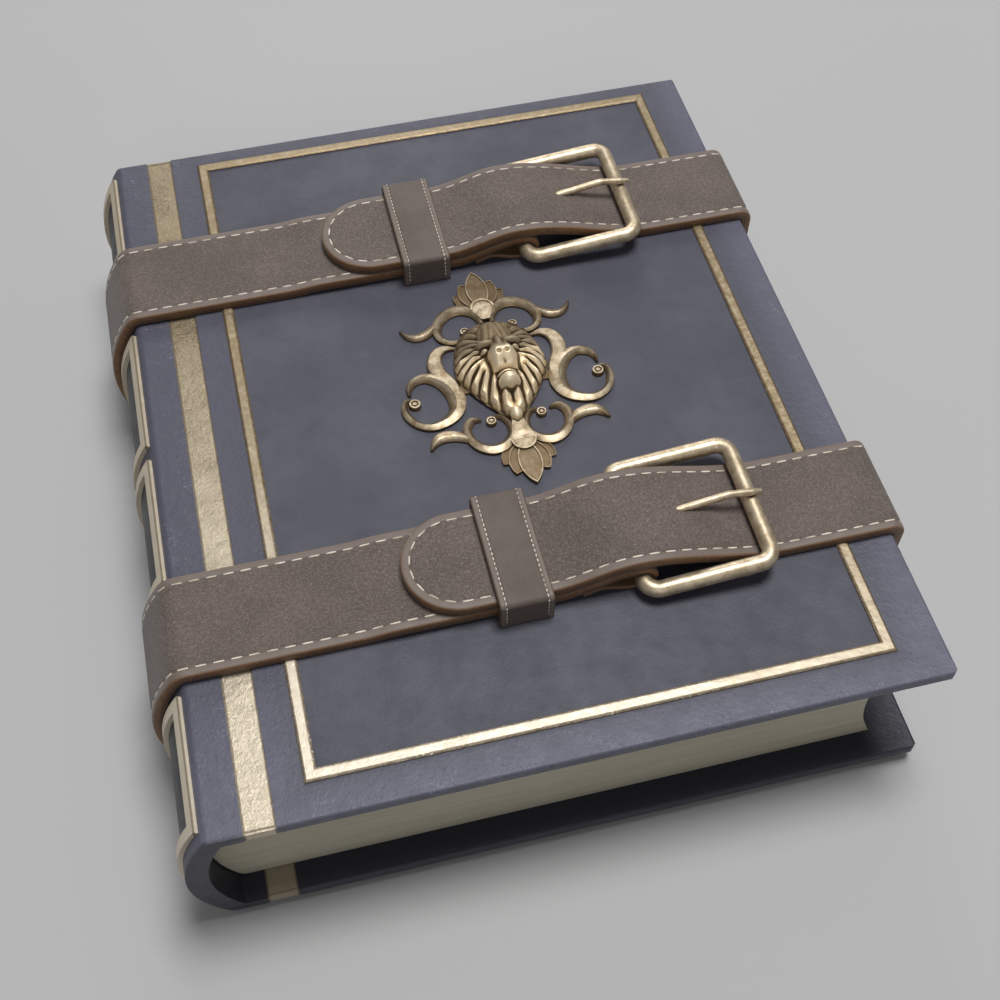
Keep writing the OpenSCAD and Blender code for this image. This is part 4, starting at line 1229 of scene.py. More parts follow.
@dataclass
class StrapMaker:
    """Buckled strap: folded round the buckle's bar, round the book and back through the buckle to its tip."""

    frame: Frame
    thick: float = 4.2
    seat: float = 0.15
    shoulder_r: float = 3.0
    turn_r: float = 1.2
    tip_from_fore: float = 166.0
    loop_t: float = 3.2
    fold_t: float = 1.5
    fold_len: float = 20.0
    fold_join: float = 5.5
    fold_rest: float = 3.0
    fold_slack: float = 1.06
    fold_step: float = 0.8
    wire_r: float = 2.85
    buckle_l: float = 43.4
    bar_from_fore: float = 89.0
    hump_back: float = 2.5
    hump_clear: float = 1.5
    rise_past: float = 9.5
    rise_back: float = 2.0
    buckle_rise: float = 3.9
    buckle_shift: float = 0.8
    eye_w: float = 5.2
    eye_t: float = 1.7
    eye_fit: float = 0.08
    prong_r: float = 1.35
    prong_sunk: float = 0.05
    prong_bend: float = 8.2
    prong_fall: float = 8.0
    keeper_under: float = 0.8
    keeper_w: float = 18.3
    keeper_gap: float = 1.5
    keeper_from_fore: float = 129.2
    stitch_in: float = 3.0
    stitch_dash: float = 3.6
    stitch_pitch: float = 5.7
    stitch_thread: float = 0.9
    stitch_lift: float = -0.19
    first_stitched: int = 61
    tip_steps: int = 40
    settle_back: float = 3.0
    settle_l: float = 14.0
    overlap: float = 2.0
    hole_from: float = 8.0
    dent: float = 4.0

    def __post_init__(self) -> None:
        """Works out the places that the route goes through."""
        f = self.frame
        self.x_bar = f.x_fore - self.bar_from_fore
        self.x_tip = f.x_fore - self.tip_from_fore
        self.x_keeper = f.x_fore - self.keeper_from_fore
        self.z_bar = f.z_front + self.fold_t + 2 * self.seat + self.wire_r
        self.loop_in = self.wire_r + self.seat
        self.hump_x = self.x_bar - self.hump_back
        self.z_flat = f.z_front + self.keeper_under + 2 * self.seat + self.thick / 2
        self.z_tip = self.z_flat + self.thick + self.seat
        self.z_hump = self.z_bar + self.loop_in + self.loop_t + self.hump_clear * self.seat + self.thick / 2
        self.keeper_end = self.x_keeper + self.keeper_w / 2 + self.keeper_gap
        self.rise_l = self.x_bar - self.rise_back - self.keeper_end
        self.x_rise = self.x_bar + self.buckle_l + self.rise_past
        self.z_rest = f.z_front + self.seat + self.thick / 2

    def buckle_end(self, x: float) -> Point2:
        """Follows the strap's buckle end, from the keeper up to the bar.

        Args:
            x: Place along the book's width.

        Returns:
            Height and thickness of the leather there.
        """
        share = ease((x - self.keeper_end) / self.rise_l)
        return (between(self.z_flat, self.z_bar + self.loop_in + self.loop_t / 2, share),
                between(self.thick, self.loop_t, share))

    def tip_end(self, x: float) -> float:
        """Follows the strap's tip end, over the buckle's bar and down to both sides of it.

        Args:
            x: Place along the book's width.

        Returns:
            Height of the leather there.
        """
        if x > self.hump_x:
            return between(self.z_hump, self.z_rest, ease((x - self.hump_x) / (self.x_rise - self.hump_x)))
        fall = self.hump_x - self.keeper_end + self.overlap
        return between(self.z_hump, self.z_tip, ease((self.hump_x - x) / fall))

    def fold(self, x: float) -> float:
        """Follows the folded-back end under the strap.

        Args:
            x: Place along the book's width.

        Returns:
            Height of the leather there.
        """
        join = self.x_bar - self.fold_len + self.fold_join
        rest = self.x_bar - self.fold_rest
        floor = self.frame.z_front + self.seat + self.fold_t / 2

        def low(at: float) -> float:
            """Height just under the strap's main layer."""
            z, t = self.buckle_end(at)
            return z - (t / 2 + self.fold_t / 2 + self.seat) * self.fold_slack
        if x < join:
            return low(x)
        return between(low(join), floor, ease((x - join) / (rest - join)))

    def route(self) -> list[Point3]:
        """Middle line of the leather from the folded end to where the round tip begins.

        Returns:
            Rows of x, z and thickness.
        """
        f, t = self.frame, self.thick
        rows: list[Point3] = []

        def arc(x: float, z: float, r: float, start: float, stop: float, steps: int) -> None:
            """Adds an arc.

            Args:
                x: Place of its middle along the book's width.
                z: Height of its middle.
                r: Its radius.
                start: Angle that it starts at, in degrees.
                stop: Angle that it stops at, in degrees.
                steps: Number of its points.
            """
            for angle in np.linspace(start, stop, steps):
                a = math.radians(angle)
                rows.append((x + r * math.cos(a), z + r * math.sin(a), t))

        for x in np.arange(self.x_bar - self.fold_len, self.x_bar - self.fold_rest, self.fold_step):
            rows.append((x, self.fold(x), self.fold_t))
        for angle in np.linspace(-90, 90, 29):
            a = math.radians(angle)
            here = between(self.fold_t, self.loop_t, (angle + 90) / 180)
            r = self.loop_in + here / 2
            rows.append((self.x_bar + r * math.cos(a), self.z_bar + r * math.sin(a), here))
        for x in np.linspace(self.x_bar - self.fold_rest, self.keeper_end, 40):
            rows.append((x, *self.buckle_end(x)))
        settle_x = self.x_tip - self.settle_back
        for x in np.linspace(self.keeper_end - self.overlap, settle_x, 30)[:-1]:
            rows.append((x, self.z_flat, t))
        for share in np.linspace(0, 1, 12):
            rows.append((settle_x - share * self.settle_l, between(self.z_flat, self.z_rest, ease(share)), t))
        wrap_r = SPINE_RADIUS + 2 * self.seat + t / 2
        corner = self.shoulder_r + 2 * self.seat + t / 2
        wrap_z = f.thick / 2 + self.seat + t / 2 - corner
        arc_x = f.x_spine + SPINE_RADIUS
        wrap_x = arc_x - math.sqrt((wrap_r - corner) ** 2 - wrap_z ** 2)
        wrap_a = math.degrees(math.asin(wrap_z / (wrap_r - corner)))
        for x in np.linspace(settle_x - self.settle_l - self.overlap, wrap_x + 1, 20):
            rows.append((x, self.z_rest, t))
        arc(wrap_x, f.z_mid + wrap_z, corner, 90, 180 - wrap_a, 12)
        arc(arc_x, f.z_mid, wrap_r, 180 - wrap_a + 1, 180 + wrap_a - 1, 40)
        arc(wrap_x, f.z_mid - wrap_z, corner, 180 + wrap_a, 270, 12)
        turn_x = f.x_fore + 2 * self.seat - self.turn_r
        turn_mid = self.turn_r + t / 2
        low, high = f.z_back - self.seat + self.turn_r, f.z_front + self.seat - self.turn_r
        for x in np.linspace(wrap_x + 1, turn_x - 1, 90):
            rows.append((x, t / 2, t))
        arc(turn_x, low, turn_mid, -90, 0, 14)
        for z in np.linspace(low, high, 26)[1:-1]:
            rows.append((turn_x + turn_mid, z, t))
        arc(turn_x, high, turn_mid, 0, 90, 14)
        for x in np.linspace(turn_x - 1, self.x_rise, 16)[:-1]:
            rows.append((x, self.z_rest, t))
        for x in np.linspace(self.x_rise, self.keeper_end - self.overlap, 110):
            rows.append((x, self.tip_end(x), t))
        for x in np.linspace(self.keeper_end - self.overlap - 1, self.x_tip + STRAP_WIDTH / 2, 24):
            rows.append((x, self.z_tip, t))
        return rows

    def stations(self) -> list[Station]:
        """Stands the leather on its route, with the grain side out.

        Returns:
            The stations.
        """
        rows = self.route()
        made = []
        for i, (x, z, t) in enumerate(rows):
            a, b = rows[max(i - 1, 0)], rows[min(i + 1, len(rows) - 1)]
            dx, dz = b[0] - a[0], b[1] - a[1]
            step = math.hypot(dx, dz)
            made.append(Station.around((x, z), (dz / step, -dx / step), t))
        return made

    def cutters(self, name: str, y: float) -> bpy.types.Object:
        """What is cut out of a strap: the slot and hole for the prong, and the dents over the gilt frame.

        Args:
            name: Name of the cutting mesh.
            y: Middle of the strap.

        Returns:
            The cutting mesh.
        """
        work = bmesh.new()
        y_prong = y + self.buckle_shift
        slot_r, hole_r = self.loop_in + self.loop_t + self.seat, self.prong_r + self.seat
        slot = bmesh.ops.create_cone(work, cap_ends=True, segments=64, radius1=slot_r, radius2=slot_r,
                                     depth=self.eye_w + 4 * self.seat)["verts"]
        across = Euler((math.pi / 2, 0, 0)).to_matrix()
        bmesh.ops.rotate(work, verts=slot, cent=(0, 0, 0), matrix=across)
        bmesh.ops.translate(work, verts=slot, vec=(self.x_bar, y_prong, self.z_bar))
        tilt, length, up = self.prong_line()
        hole = bmesh.ops.create_cone(work, cap_ends=True, segments=32, radius1=hole_r, radius2=hole_r,
                                     depth=length)["verts"]
        bmesh.ops.translate(work, verts=hole, vec=(-up, 0, length / 2 + self.hole_from))
        along = Euler((0, math.pi / 2 - tilt, 0)).to_matrix()
        bmesh.ops.rotate(work, verts=hole, cent=(0, 0, 0), matrix=along)
        bmesh.ops.translate(work, verts=hole, vec=(self.x_bar, y_prong, self.z_bar))
        low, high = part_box("front_gilt_frame")
        top = high.z / MM + 2 * self.seat
        for x in (low.x / MM + GILT_RAIL / 2, high.x / MM - GILT_RAIL / 2):
            dent = bmesh.ops.create_cube(work, size=1.0)["verts"]
            size = (GILT_RAIL + 4 * self.seat, STRAP_WIDTH + self.dent, self.dent)
            bmesh.ops.scale(work, verts=dent, vec=size)
            bmesh.ops.translate(work, verts=dent, vec=(x, y, top - self.dent / 2))
        bmesh.ops.scale(work, verts=work.verts, vec=(MM, MM, MM))
        mesh = bpy.data.meshes.new(name)
        work.to_mesh(mesh)
        work.free()
        made = bpy.data.objects.new(name, mesh)
        bpy.context.scene.collection.objects.link(made)
        return made

    def prong_line(self) -> Point3:
        """Finds how the prong's shaft lies.

        Returns:
            Its slope in radians, its length and its offset from the bar's middle.
        """
        rise = math.asin(self.buckle_rise / self.buckle_l)
        x_free = self.x_bar + self.buckle_l * math.cos(rise)
        z_free = self.z_bar + self.buckle_rise
        fall = math.radians(self.prong_fall)
        lift = self.wire_r + self.prong_r + self.seat
        dx = x_free - self.prong_bend - self.x_bar
        dz = z_free + lift / math.cos(fall) + self.prong_bend * math.tan(fall) - self.z_bar
        up = self.wire_r + self.eye_fit + self.eye_t - self.prong_r - self.prong_sunk
        far = math.hypot(dx, dz)
        return math.atan2(dz, dx) - math.asin(up / far), math.sqrt(far ** 2 - up ** 2), up

    def stitches(self, y: float) -> tuple[np.ndarray, np.ndarray]:
        """Line of the stitches: along one rim, round the tip and back along the other.

        Args:
            y: Middle of the strap.

        Returns:
            Points of the line and the leather's outward direction at each.
        """
        stations = self.stations()
        inset = STRAP_WIDTH / 2 - self.stitch_in
        sewn = stations[self.first_stitched:]
        side = [(s.outer[0], y + inset, s.outer[1], s.out()) for s in sewn]
        x_end, z_end = stations[-1].outer
        turns = [math.pi * step / self.tip_steps for step in range(1, self.tip_steps)]
        tip = [(x_end - inset * math.sin(a), y + inset * math.cos(a), z_end, (0.0, 1.0)) for a in turns]
        back = [(x, 2 * y - y_side, z, out) for x, y_side, z, out in reversed(side)]
        rows = side + tip + back
        line = np.array([row[:3] for row in rows])
        out = np.array([(row[3][0], 0.0, row[3][1]) for row in rows])
        keep = np.concatenate([[True], np.linalg.norm(np.diff(line, axis=0), axis=1) > 1e-4])
        return line[keep], out[keep]

    def make(self, which: str, leather: Material, thread: Material) -> list[bpy.types.Object]:
        """Builds one strap and its stitches in the place of the frame's strap.

        Args:
            which: Name that the strap's node starts with.
            leather: Finish of the strap.
            thread: Finish of the stitches.

        Returns:
            The strap and its stitches.
        """
        low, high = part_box(f"{which}_strap")
        y = (low.y + high.y) / 2 / MM
        strap = LeatherStrip(f"{which}_strap_leather", self.stations(), Plane.SIDE, y, STRAP_WIDTH,
                             round_end=True).build()
        cutter = self.cutters(f"{which}_cutter", y)
        cut = strap.modifiers.new("cut", "BOOLEAN")
        cut.operation = "DIFFERENCE"
        cut.solver = "EXACT"
        cut.object = cutter
        settle(strap)
        bpy.data.objects.remove(cutter)
        dress(strap, leather)
        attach(strap, "book")
        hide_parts(f"{which}_strap")
        row = StitchRow(f"{which}_strap_stitches", self.stitch_dash, self.stitch_pitch, self.stitch_thread,
                        lift=self.stitch_lift)
        sewn = row.build(*self.stitches(y))
        dress(sewn, thread)
        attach(sewn, "book")
        return [strap, sewn]


@dataclass
class KeeperMaker:
    """Leather loop that holds the strap's tip down, and slides along the strap."""

    wall: float = 2.5
    under: float = 0.8
    corner: float = 1.9
    inner_corner: float = 0.5
    foot: float = 0.4
    rounding: float = 0.75
    turn_points: int = 7
    turn_step: float = 15.0
    side_steps: int = 6
    flat_steps: int = 24
    stitch_in: float = 2.2
    stitch_dash: float = 1.25
    stitch_pitch: float = 1.95
    stitch_thread: float = 0.5
    stitch_lift: float = 0.06
    stitch_from: float = 0.9

    def loop(self, which: str) -> tuple[list[Station], float, float]:
        """Stations of the loop, its middle along the strap and its width.

        Args:
            which: Name that the keeper's node starts with.

        Returns:
            The stations from the tail side's foot, up, over and down, then the width's middle and the width.
        """
        low, high = (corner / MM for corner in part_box(f"{which}_keeper"))
        inner_low = (low.y + self.wall, low.z + self.under)
        inner_high = (high.y - self.wall, high.z - self.wall)

        def turn(inner: Point2, outer: Point2, r_out: float, start: float) -> list[Station]:
            """Quarter turn of the leather, clockwise seen from the fore-edge.

            Args:
                inner: Middle of the inner face's turn.
                outer: Middle of the outer face's turn.
                r_out: Radius of the outer face's turn.
                start: Angle that the turn starts at, in degrees.

            Returns:
                The turn's stations.
            """
            made = []
            for k in range(self.turn_points):
                a = math.radians(start - self.turn_step * k)
                made.append(Station((inner[0] + n * math.cos(a), inner[1] + n * math.sin(a)),
                                    (outer[0] + r_out * math.cos(a), outer[1] + r_out * math.sin(a))))
            return made

        def straight(a: Station, b: Station, steps: int) -> list[Station]:
            """Straight run of the leather.

            Args:
                a: Station that it starts after.
                b: Station that it ends before.
                steps: Number of its steps.

            Returns:
                The run's stations, with the first end and without the second.
            """
            shares = [k / steps for k in range(steps)]
            return [Station((between(a.inner[0], b.inner[0], share), between(a.inner[1], b.inner[1], share)),
                            (between(a.outer[0], b.outer[0], share), between(a.outer[1], b.outer[1], share)))
                    for share in shares]

        c, n, foot = self.corner, self.inner_corner, self.foot
        turns = [
            turn((inner_low[0] + n, inner_low[1] + n), (low.y + foot, low.z + foot), foot, 270),
            turn((inner_low[0] + n, inner_high[1] - n), (low.y + c, high.z - c), c, 180),
            turn((inner_high[0] - n, inner_high[1] - n), (high.y - c, high.z - c), c, 90),
            turn((inner_high[0] - n, inner_low[1] + n), (high.y - foot, low.z + foot), foot, 0)]
        full: list[Station] = []
        for k, here in enumerate(turns):
            following = turns[(k + 1) % len(turns)]
            steps = self.flat_steps if k % 2 else self.side_steps
            full += here[:-1] + straight(here[-1], following[0], steps)
        return full, (low.x + high.x) / 2, high.x - low.x

    def make(self, which: str, leather: Material, thread: Material) -> list[bpy.types.Object]:
        """Builds one keeper and its stitches in the place of the frame's keeper.

        Args:
            which: Name that the keeper's node starts with.
            leather: Finish of the keeper.
            thread: Finish of the stitches.

        Returns:
            The keeper and its stitches.
        """
        body = f"{which}_keeper"
        stations, x, width = self.loop(which)
        loop = LeatherStrip(f"{body}_leather", stations, Plane.END, x, width, rounding=self.rounding,
                            closed=True).build()
        dress(loop, leather)
        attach(loop, body)
        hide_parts(body)
        made = [loop]
        foot = stations[0].outer[1] + self.stitch_from
        seen = [s for s in stations[3:-3] if s.outer[1] > foot]
        for side, edge in ((-1, "spine"), (1, "fore")):
            at = x + side * (width / 2 - self.stitch_in)
            line = np.array([(at, s.outer[0], s.outer[1]) for s in seen])
            out = np.array([(0.0, *s.out()) for s in seen])
            row = StitchRow(f"{body}_stitches_{edge}", self.stitch_dash, self.stitch_pitch,
                            self.stitch_thread, lift=self.stitch_lift)
            sewn = row.build(line, out)
            dress(sewn, thread)
            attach(sewn, body)
            made.append(sewn)
        return made


def soft(a: np.ndarray, b: np.ndarray, joint: float) -> np.ndarray:
    """The higher of two heights, with a soft joint between them."""
    d = np.maximum(joint - np.abs(a - b), 0) / joint
    return np.maximum(a, b) + d * d * joint / 4


def dent(x: np.ndarray, y: np.ndarray, place: Point2, axes: Point2) -> np.ndarray:
    """Share from 1 in the middle of a dent to 0 well outside it."""
    return np.exp(-((x - place[0]) / axes[0]) ** 2 - ((y - place[1]) / axes[1]) ** 2)


@dataclass(frozen=True)
class Mass:
    """Rounded mass of the lion's face: its place, half axes, top, depth and the softness of its joint."""

    place: Point2
    axes: Point2
    top: float
    deep: float
    joint: float = 0.0

    def height(self, x: np.ndarray, y: np.ndarray) -> np.ndarray:
        """Height of the mass over each place."""
        q = 1 - ((x - self.place[0]) / self.axes[0]) ** 2 - ((y - self.place[1]) / self.axes[1]) ** 2
        return self.top - self.deep + self.deep * np.where(q > 0, np.sqrt(np.maximum(q, 0)), q)

    def join(self, z: np.ndarray, x: np.ndarray, y: np.ndarray) -> np.ndarray:
        """Lays the mass over a relief of height z."""
        return soft(z, self.height(x, y), self.joint)


@dataclass(frozen=True)
class LionHead:
    """Cast lion's head: a relief over the outline of its mane, drawn in millimetres about its middle."""

    rings: int = 120
    spokes: int = 320
    crowding: float = 0.85
    near: float = 1.0
    looks_round: int = 8
    sharp: float = 55.0
    half_width: float = 17.2
    crown_reach: float = 24.5
    beard_reach: float = 24.0
    crown_power: float = 2.2
    beard_power: float = 1.22
    lowest: float = 0.4
    forehead: Mass = Mass((0, 11.5), (7, 9), 8.6, 5)
    masses: tuple[Mass, ...] = (
        Mass((0, 2.6), (8, 10), 8.6, 5, 1),
        Mass((4.6, 6.7), (3.9, 1.8), 11.2, 3, 0.9),
        Mass((6.6, -1.2), (2.7, 3.8), 8, 3.4, 1.2),
        Mass((0, 3), (2.3, 7.4), 12.4, 5, 1.2))
    eye: Mass = Mass((5.6, 3.8), (1.4, 1), 9.9, 2, 0.3)
    lip: Mass = Mass((0, -8.1), (3.6, 1), 11.2, 4, 0.4)
    chin: Mass = Mass((0, -11.4), (4.2, 3.3), 13, 7, 0.3)
    beard_lock: Mass = Mass((0, -20.3), (2.6, 4.6), 4.6, 4, 0.8)
    lock_turn: float = 14.0
    rim_swell: float = 0.4
    eye_line: float = 5.0

    def mane_edge(self, angle: np.ndarray) -> np.ndarray:
        """Outline of the mane: broad crown, wide sides and pointed beard.

        Args:
            angle: Angles about the middle, in radians.

        Returns:
            Distance of the outline from the middle at each angle.
        """
        top = np.sin(angle) > 0
        c = np.abs(np.cos(angle)) / self.half_width
        s = np.abs(np.sin(angle)) / np.where(top, self.crown_reach, self.beard_reach)
        n = np.where(top, self.crown_power, self.beard_power)
        return (c ** n + s ** n) ** (-1 / n)

    def face(self, x: np.ndarray, y: np.ndarray) -> np.ndarray:
        """Height of the face: forehead, brow, cheek, nose, eye, mouth, lip and chin.

        Args:
            x: Distance from the middle line of the face.
            y: Place up the face.

        Returns:
            The height at each place.
        """
        z = self.forehead.height(x, y) + 0.3 * np.abs(np.sin(x * 1.25 + 0.25 * y))
        for mass in self.masses:
            z = mass.join(z, x, y)
        muzzle = 15.2 - 0.9 * np.maximum(-1.2 - y, 0) - 0.8 * np.maximum(y, 0)
        z = soft(z, muzzle - 0.5 * np.maximum(x - 2, 0) ** 2, 0.8)
        z = self.eye.join(z - 2.2 * dent(x, y, (5.2, 4.2), (1.9, 1.1)), x, y)
        mouth = np.exp(-((y + 6.7 + 0.03 * x * x) / 0.7) ** 2) * np.clip((5.8 - x) / 1.8, 0, 1)
        pits = dent(x, y, (1.6, -1.5), (0.62, 0.5))
        cleft = dent(x, y, (0, -5), (0.5, 1.3))
        round_chin = np.exp(-((np.hypot(x / 4.9, (y + 11.4) / 4.2) - 1) / 0.16) ** 2)
        z = z - 3.6 * mouth - 2 * pits - 0.6 * cleft - 1.6 * round_chin
        return self.chin.join(self.lip.join(z, x, y), x, y)

    def mane(self, x: np.ndarray, y: np.ndarray, reach: np.ndarray) -> np.ndarray:
        """Height of the mane, whose locks run out from between the eyes.

        Args:
            x: Distance from the middle line of the face.
            y: Place up the face.
            reach: Share of the way from the middle to the outline.

        Returns:
            The height at each place.
        """
        low = y - self.eye_line
        angle = np.degrees(np.arctan2(x, -low))
        far = np.hypot(x, low)
        turn = (angle + np.maximum(far - 9, 0) * 0.8 * np.sin(np.radians(angle))) / self.lock_turn
        lock_number = np.floor(turn)
        across = turn - lock_number
        lock = np.maximum(np.sin(np.pi * across), 0) ** 1.1
        tuft = np.sin(far * 0.75 + lock_number * 2.4)
        strands = 0.16 * np.sin(np.pi * 4 * across)
        calm = 1 - 0.65 * np.clip((angle - 100) / 40, 0, 1)
        rim = np.maximum(np.clip((1 - reach) / 0.12, 0, 1), self.rim_swell)
        swell = np.clip((reach - 0.3) / 0.28, 0, 1) * rim * calm
        head = 7.8 * np.maximum(1 - reach ** 2.2, 0) ** 0.66 - 0.9
        return self.beard_lock.join(head + swell * (lock * (2.7 + 0.5 * tuft) + strands), x, y)

    def height(self, x: np.ndarray, y: np.ndarray, reach: np.ndarray) -> np.ndarray:
        """Height of the relief at a place, reach being its share of the way to the outline."""
        away = np.abs(x)
        return np.maximum(soft(self.face(away, y), self.mane(away, y, reach), 0.8), self.lowest)

    def hollows(self, x: np.ndarray, y: np.ndarray) -> np.ndarray:
        """Finds how far each place lies under the mean of its surroundings.

        Args:
            x: Places across the head.
            y: Places up the head.

        Returns:
            The depth in millimetres, below 0 on a ridge.
        """
        def relief(x: np.ndarray, y: np.ndarray) -> np.ndarray:
            """Height at a place."""
            reach = np.hypot(x, y) / self.mane_edge(np.arctan2(y, x))
            return self.height(x, y, np.minimum(reach, 1))
        turns = np.arange(self.looks_round) * math.tau / self.looks_round
        around = [relief(x + self.near * math.cos(a), y + self.near * math.sin(a)) for a in turns]
        return np.mean(around, axis=0) - relief(x, y)

    def make(self, brass: Material) -> bpy.types.Object:
        """Builds the head in the place of the frame's head.

        Args:
            brass: Finish of the casting.

        Returns:
            The head.
        """
        low, high = (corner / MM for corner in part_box("lion_head"))
        scale = (high.x - low.x) / (2 * self.half_width)
        middle = np.array([(low.x + high.x) / 2, low.y + self.beard_reach * scale, low.z])
        angle = np.arange(self.spokes) * math.tau / self.spokes
        edge = self.mane_edge(angle)
        points = [[0.0, 0.0, float(self.height(np.zeros(1), np.zeros(1), np.zeros(1))[0])]]
        for ring in range(1, self.rings + 1):
            reach = (ring / self.rings) ** self.crowding
            x, y = edge * reach * np.cos(angle), edge * reach * np.sin(angle)
            points += np.stack([x, y, self.height(x, y, np.full_like(x, reach))], axis=1).tolist()
        foot = np.zeros_like(edge)
        points += np.stack([edge * np.cos(angle), edge * np.sin(angle), foot], axis=1).tolist()
        placed = np.array(points)
        hollow = self.hollows(placed[:, 0], placed[:, 1])
        placed[:, :2] *= scale
        placed[:, 2] *= (high.z - low.z) / placed[:, 2].max()
        n = self.spokes
        faces: list[tuple[int, ...]] = [(0, 1 + k, 1 + (k + 1) % n) for k in range(n)]
        for ring in range(self.rings):
            for k in range(n):
                a, b = 1 + ring * n + k, 1 + ring * n + (k + 1) % n
                faces.append((a, a + n, b + n, b))
        faces.append(tuple(1 + self.rings * n + k for k in range(n - 1, -1, -1)))
        head = made_mesh("lion_head_casting", placed + middle, faces)
        head.data.set_sharp_from_angle(angle=math.radians(self.sharp))
        add_chart(head, "relief", np.stack([hollow, np.zeros_like(hollow)], axis=1))
        dress(head, brass)
        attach(head, "book")
        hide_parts("lion_head")
        return head


@dataclass(frozen=True)
class BookDress:
    """Finishes of the frame's own nodes, and the smooth casting made from one of them."""

    frame: dict
    sharp: float = 36.0

    def leather(self, finish: Material) -> None:
        """Dresses the boards and the spine.

        Args:
            finish: Leather.
        """
        for node in ("front_cover", "back_cover", "spine"):
            dress(self.frame["nodes"][node], finish)
            log.info("%s: leather", node)

    def gilding(self, band: Material, frame: Material, spine: Material) -> None:
        """Dresses the bands round the boards' ends and the raised frames.

        Args:
            band: Gilding of both bands.
            frame: Gilding of the front cover's frame.
            spine: Gilding of the spine's frames.
        """
        finishes = {"front_gilt_band": band, "back_gilt_band": band, "front_gilt_frame": frame}
        finishes.update(dict.fromkeys(SPINE_FRAMES, spine))
        for node, finish in finishes.items():
            dress(self.frame["nodes"][node], finish)
            log.info("%s: gilt", node)

    def pages(self, finish: Material) -> None:
        """Dresses the pages."""
        dress(self.frame["nodes"]["page_block"], finish)
        log.info("page_block: paper")

    def hardware(self, finish: Material) -> None:
        """Dresses the buckles and the prongs.

        Args:
            finish: Brass.
        """
        for which in SIDES:
            for part in ("buckle", "prong"):
                dress(self.frame["nodes"][f"{which}_{part}"], finish)
                log.info("%s_%s: brass", which, part)

    def scrolls(self, finish: Material) -> bpy.types.Object:
        """Builds the scrollwork with its facets joined and smoothed.

        Args:
            finish: Brass.

        Returns:
            The scrollwork.
        """
        casting = joined_copy(self.frame, "scroll_mount", "scroll_mount_casting", self.sharp)
        dress(casting, finish)
        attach(casting, "book")
        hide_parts("scroll_mount")
        return casting


@dataclass(frozen=True)
class Studio:
    """Camera, lights and floor of the photograph."""

    turn: Point3 = (0.6065, 0.0008, -0.2388)
    stand: Point3 = (-0.0654, -0.3164, 0.45865)
    lens: float = 50.0
    clip: float = 0.01
    aim: Point3 = (0.0, 0.0, 0.03)
    lamps: tuple[tuple[str, Point3, float, float], ...] = (
        ("key", (0.5, 0.25, 3.0), 74.0, 1.1),
        ("back", (0.3, 2.7, 1.3), 18.0, 1.0),
        ("front", (-0.5, -2.4, 1.7), 7.5, 0.8))
    floor_side: float = 4.0
    world_grey: float = 0.17

    def camera(self) -> None:
        """Sets the camera where the photograph was taken from."""
        data = bpy.data.cameras.new("camera")
        data.lens = self.lens
        data.clip_start = self.clip
        made = bpy.data.objects.new("camera", data)
        made.rotation_euler = Euler(self.turn)
        made.location = self.stand
        bpy.context.scene.collection.objects.link(made)
        bpy.context.scene.camera = made

    def lamp(self, name: str, at: Point3, power: float, side: float) -> None:
        """Adds one square soft lamp that faces the book.

        Args:
            name: Name of the lamp.
            at: Its place in metres.
            power: Its power in watts.
            side: Its side in metres.
        """
        data = bpy.data.lights.new(name, "AREA")
        data.energy = power
        data.size = side
        made = bpy.data.objects.new(name, data)
        made.location = at
        made.rotation_euler = (Vector(self.aim) - Vector(at)).to_track_quat("-Z", "Y").to_euler()
        bpy.context.scene.collection.objects.link(made)

    def lights(self) -> None:
        """Sets the key from above and the right, a low back lamp, a weak front lamp and an even world."""
        for name, at, power, side in self.lamps:
            self.lamp(name, at, power, side)
        world = bpy.data.worlds.new("studio")
        world.use_nodes = True
        sky = world.node_tree.nodes["Background"].inputs
        sky["Color"].default_value = (1, 1, 1, 1)
        sky["Strength"].default_value = self.world_grey
        bpy.context.scene.world = world
        bpy.context.scene.view_settings.view_transform = "Standard"

    def floor(self) -> None:
        """Lays the floor that the straps rest on."""
        half = self.floor_side / 2 / MM
        corners = [(-half, -half, 0), (half, -half, 0), (half, half, 0), (-half, half, 0)]
        made = made_mesh("floor", np.array(corners), [(0, 1, 2, 3)])
        dress(made, StudioFloor().material())


def cast_brass() -> Material:
    """Brass of the scrollwork, browner in the leaves' hollows than on the crests.

    Returns:
        The metal.
    """
    low, high = (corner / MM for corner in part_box("scroll_mount"))
    return AntiqueBrass("cast_brass", dull=shown(166, 144, 112), hollowed=shown(104, 83, 55), grip=1.6,
                        rough=0.38, share=0.75, speck=0.58, crest=(low.z + 1.0, high.z - 0.25)).material()


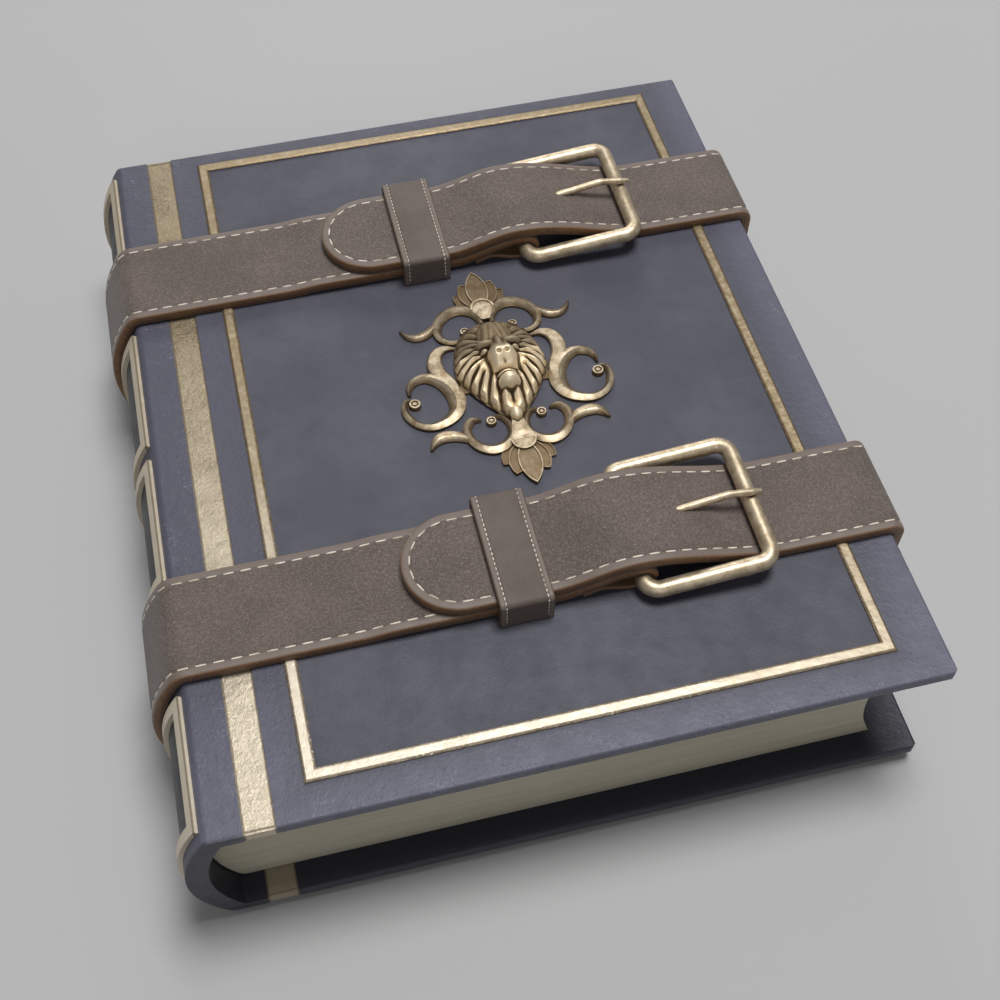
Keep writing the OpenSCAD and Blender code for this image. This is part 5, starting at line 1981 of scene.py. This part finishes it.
def lion_brass() -> Material:
    """Warm brass of the lion: polished muzzle with a painted highlight, dark crown and dark grooves between
    the locks.

    Returns:
        The metal.
    """
    low, high = (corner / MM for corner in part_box("lion_head"))
    return AntiqueBrass("lion_brass", metal=shown(232, 206, 162), dull=shown(184, 157, 116),
                        patina=shown(66, 50, 32), worn=shown(255, 236, 202), grip=1.0, rough=0.46,
                        share=0.55, ridged=True, polish_and_highlight=(high.z - 4.4, high.z - 1),
                        crown=(low.y + 31.5, low.y + 38, low.z)).material()


def main() -> None:
    """Builds the book's looks piece by piece, in the studio of the photograph."""
    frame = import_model()
    logging.basicConfig(level=logging.INFO, format="%(name)s: %(message)s")
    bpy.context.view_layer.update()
    studio = Studio()
    studio.camera()
    studio.lights()
    studio.floor()
    dressing = BookDress(frame)
    dressing.leather(CoverLeather().material())
    dressing.gilding(GiltLeaf("gilt_band_leaf", worn=0.46, lines=True).material(),
                     GiltLeaf("gilt_frame_leaf", leaf=shown(154, 136, 106), bright=shown(210, 199, 180),
                              painted_highlight_span=(0.0, -0.17), lean=0.5, crumple=2.5, depth=0.08, worn=0.6,
                              rail=GILT_RAIL).material(),
                     GiltLeaf("spine_frame_leaf", leaf=shown(206, 192, 168), bright=shown(222, 210, 188),
                              crumple=3, depth=0.06, worn=0.7, metal=0.35, groove=1.2).material())
    dressing.pages(PageEdges().material())
    dressing.hardware(AntiqueBrass("buckle_brass", hollow=1.2, rough=0.4).material())
    made = [dressing.scrolls(cast_brass()), LionHead().make(lion_brass())]
    thread = Thread().material()
    strap_leather = StrapLeather("strap_leather_aged").material()
    keeper_leather = StrapLeather("keeper_leather_aged", face=shown(102, 91, 84), nap=shown(122, 111, 104),
                                  rim=shown(118, 106, 98), edge=shown(92, 74, 60), stitch_in=2.2,
                                  napped=0.35).material()
    straps = StrapMaker(Frame.read())
    keepers = KeeperMaker()
    for which in SIDES:
        made += straps.make(which, strap_leather, thread)
        made += keepers.make(which, keeper_leather, thread)
    for piece in made:
        log.info("%s: %d faces", piece.name, len(piece.data.polygons))


if __name__ == "__main__":
    main()
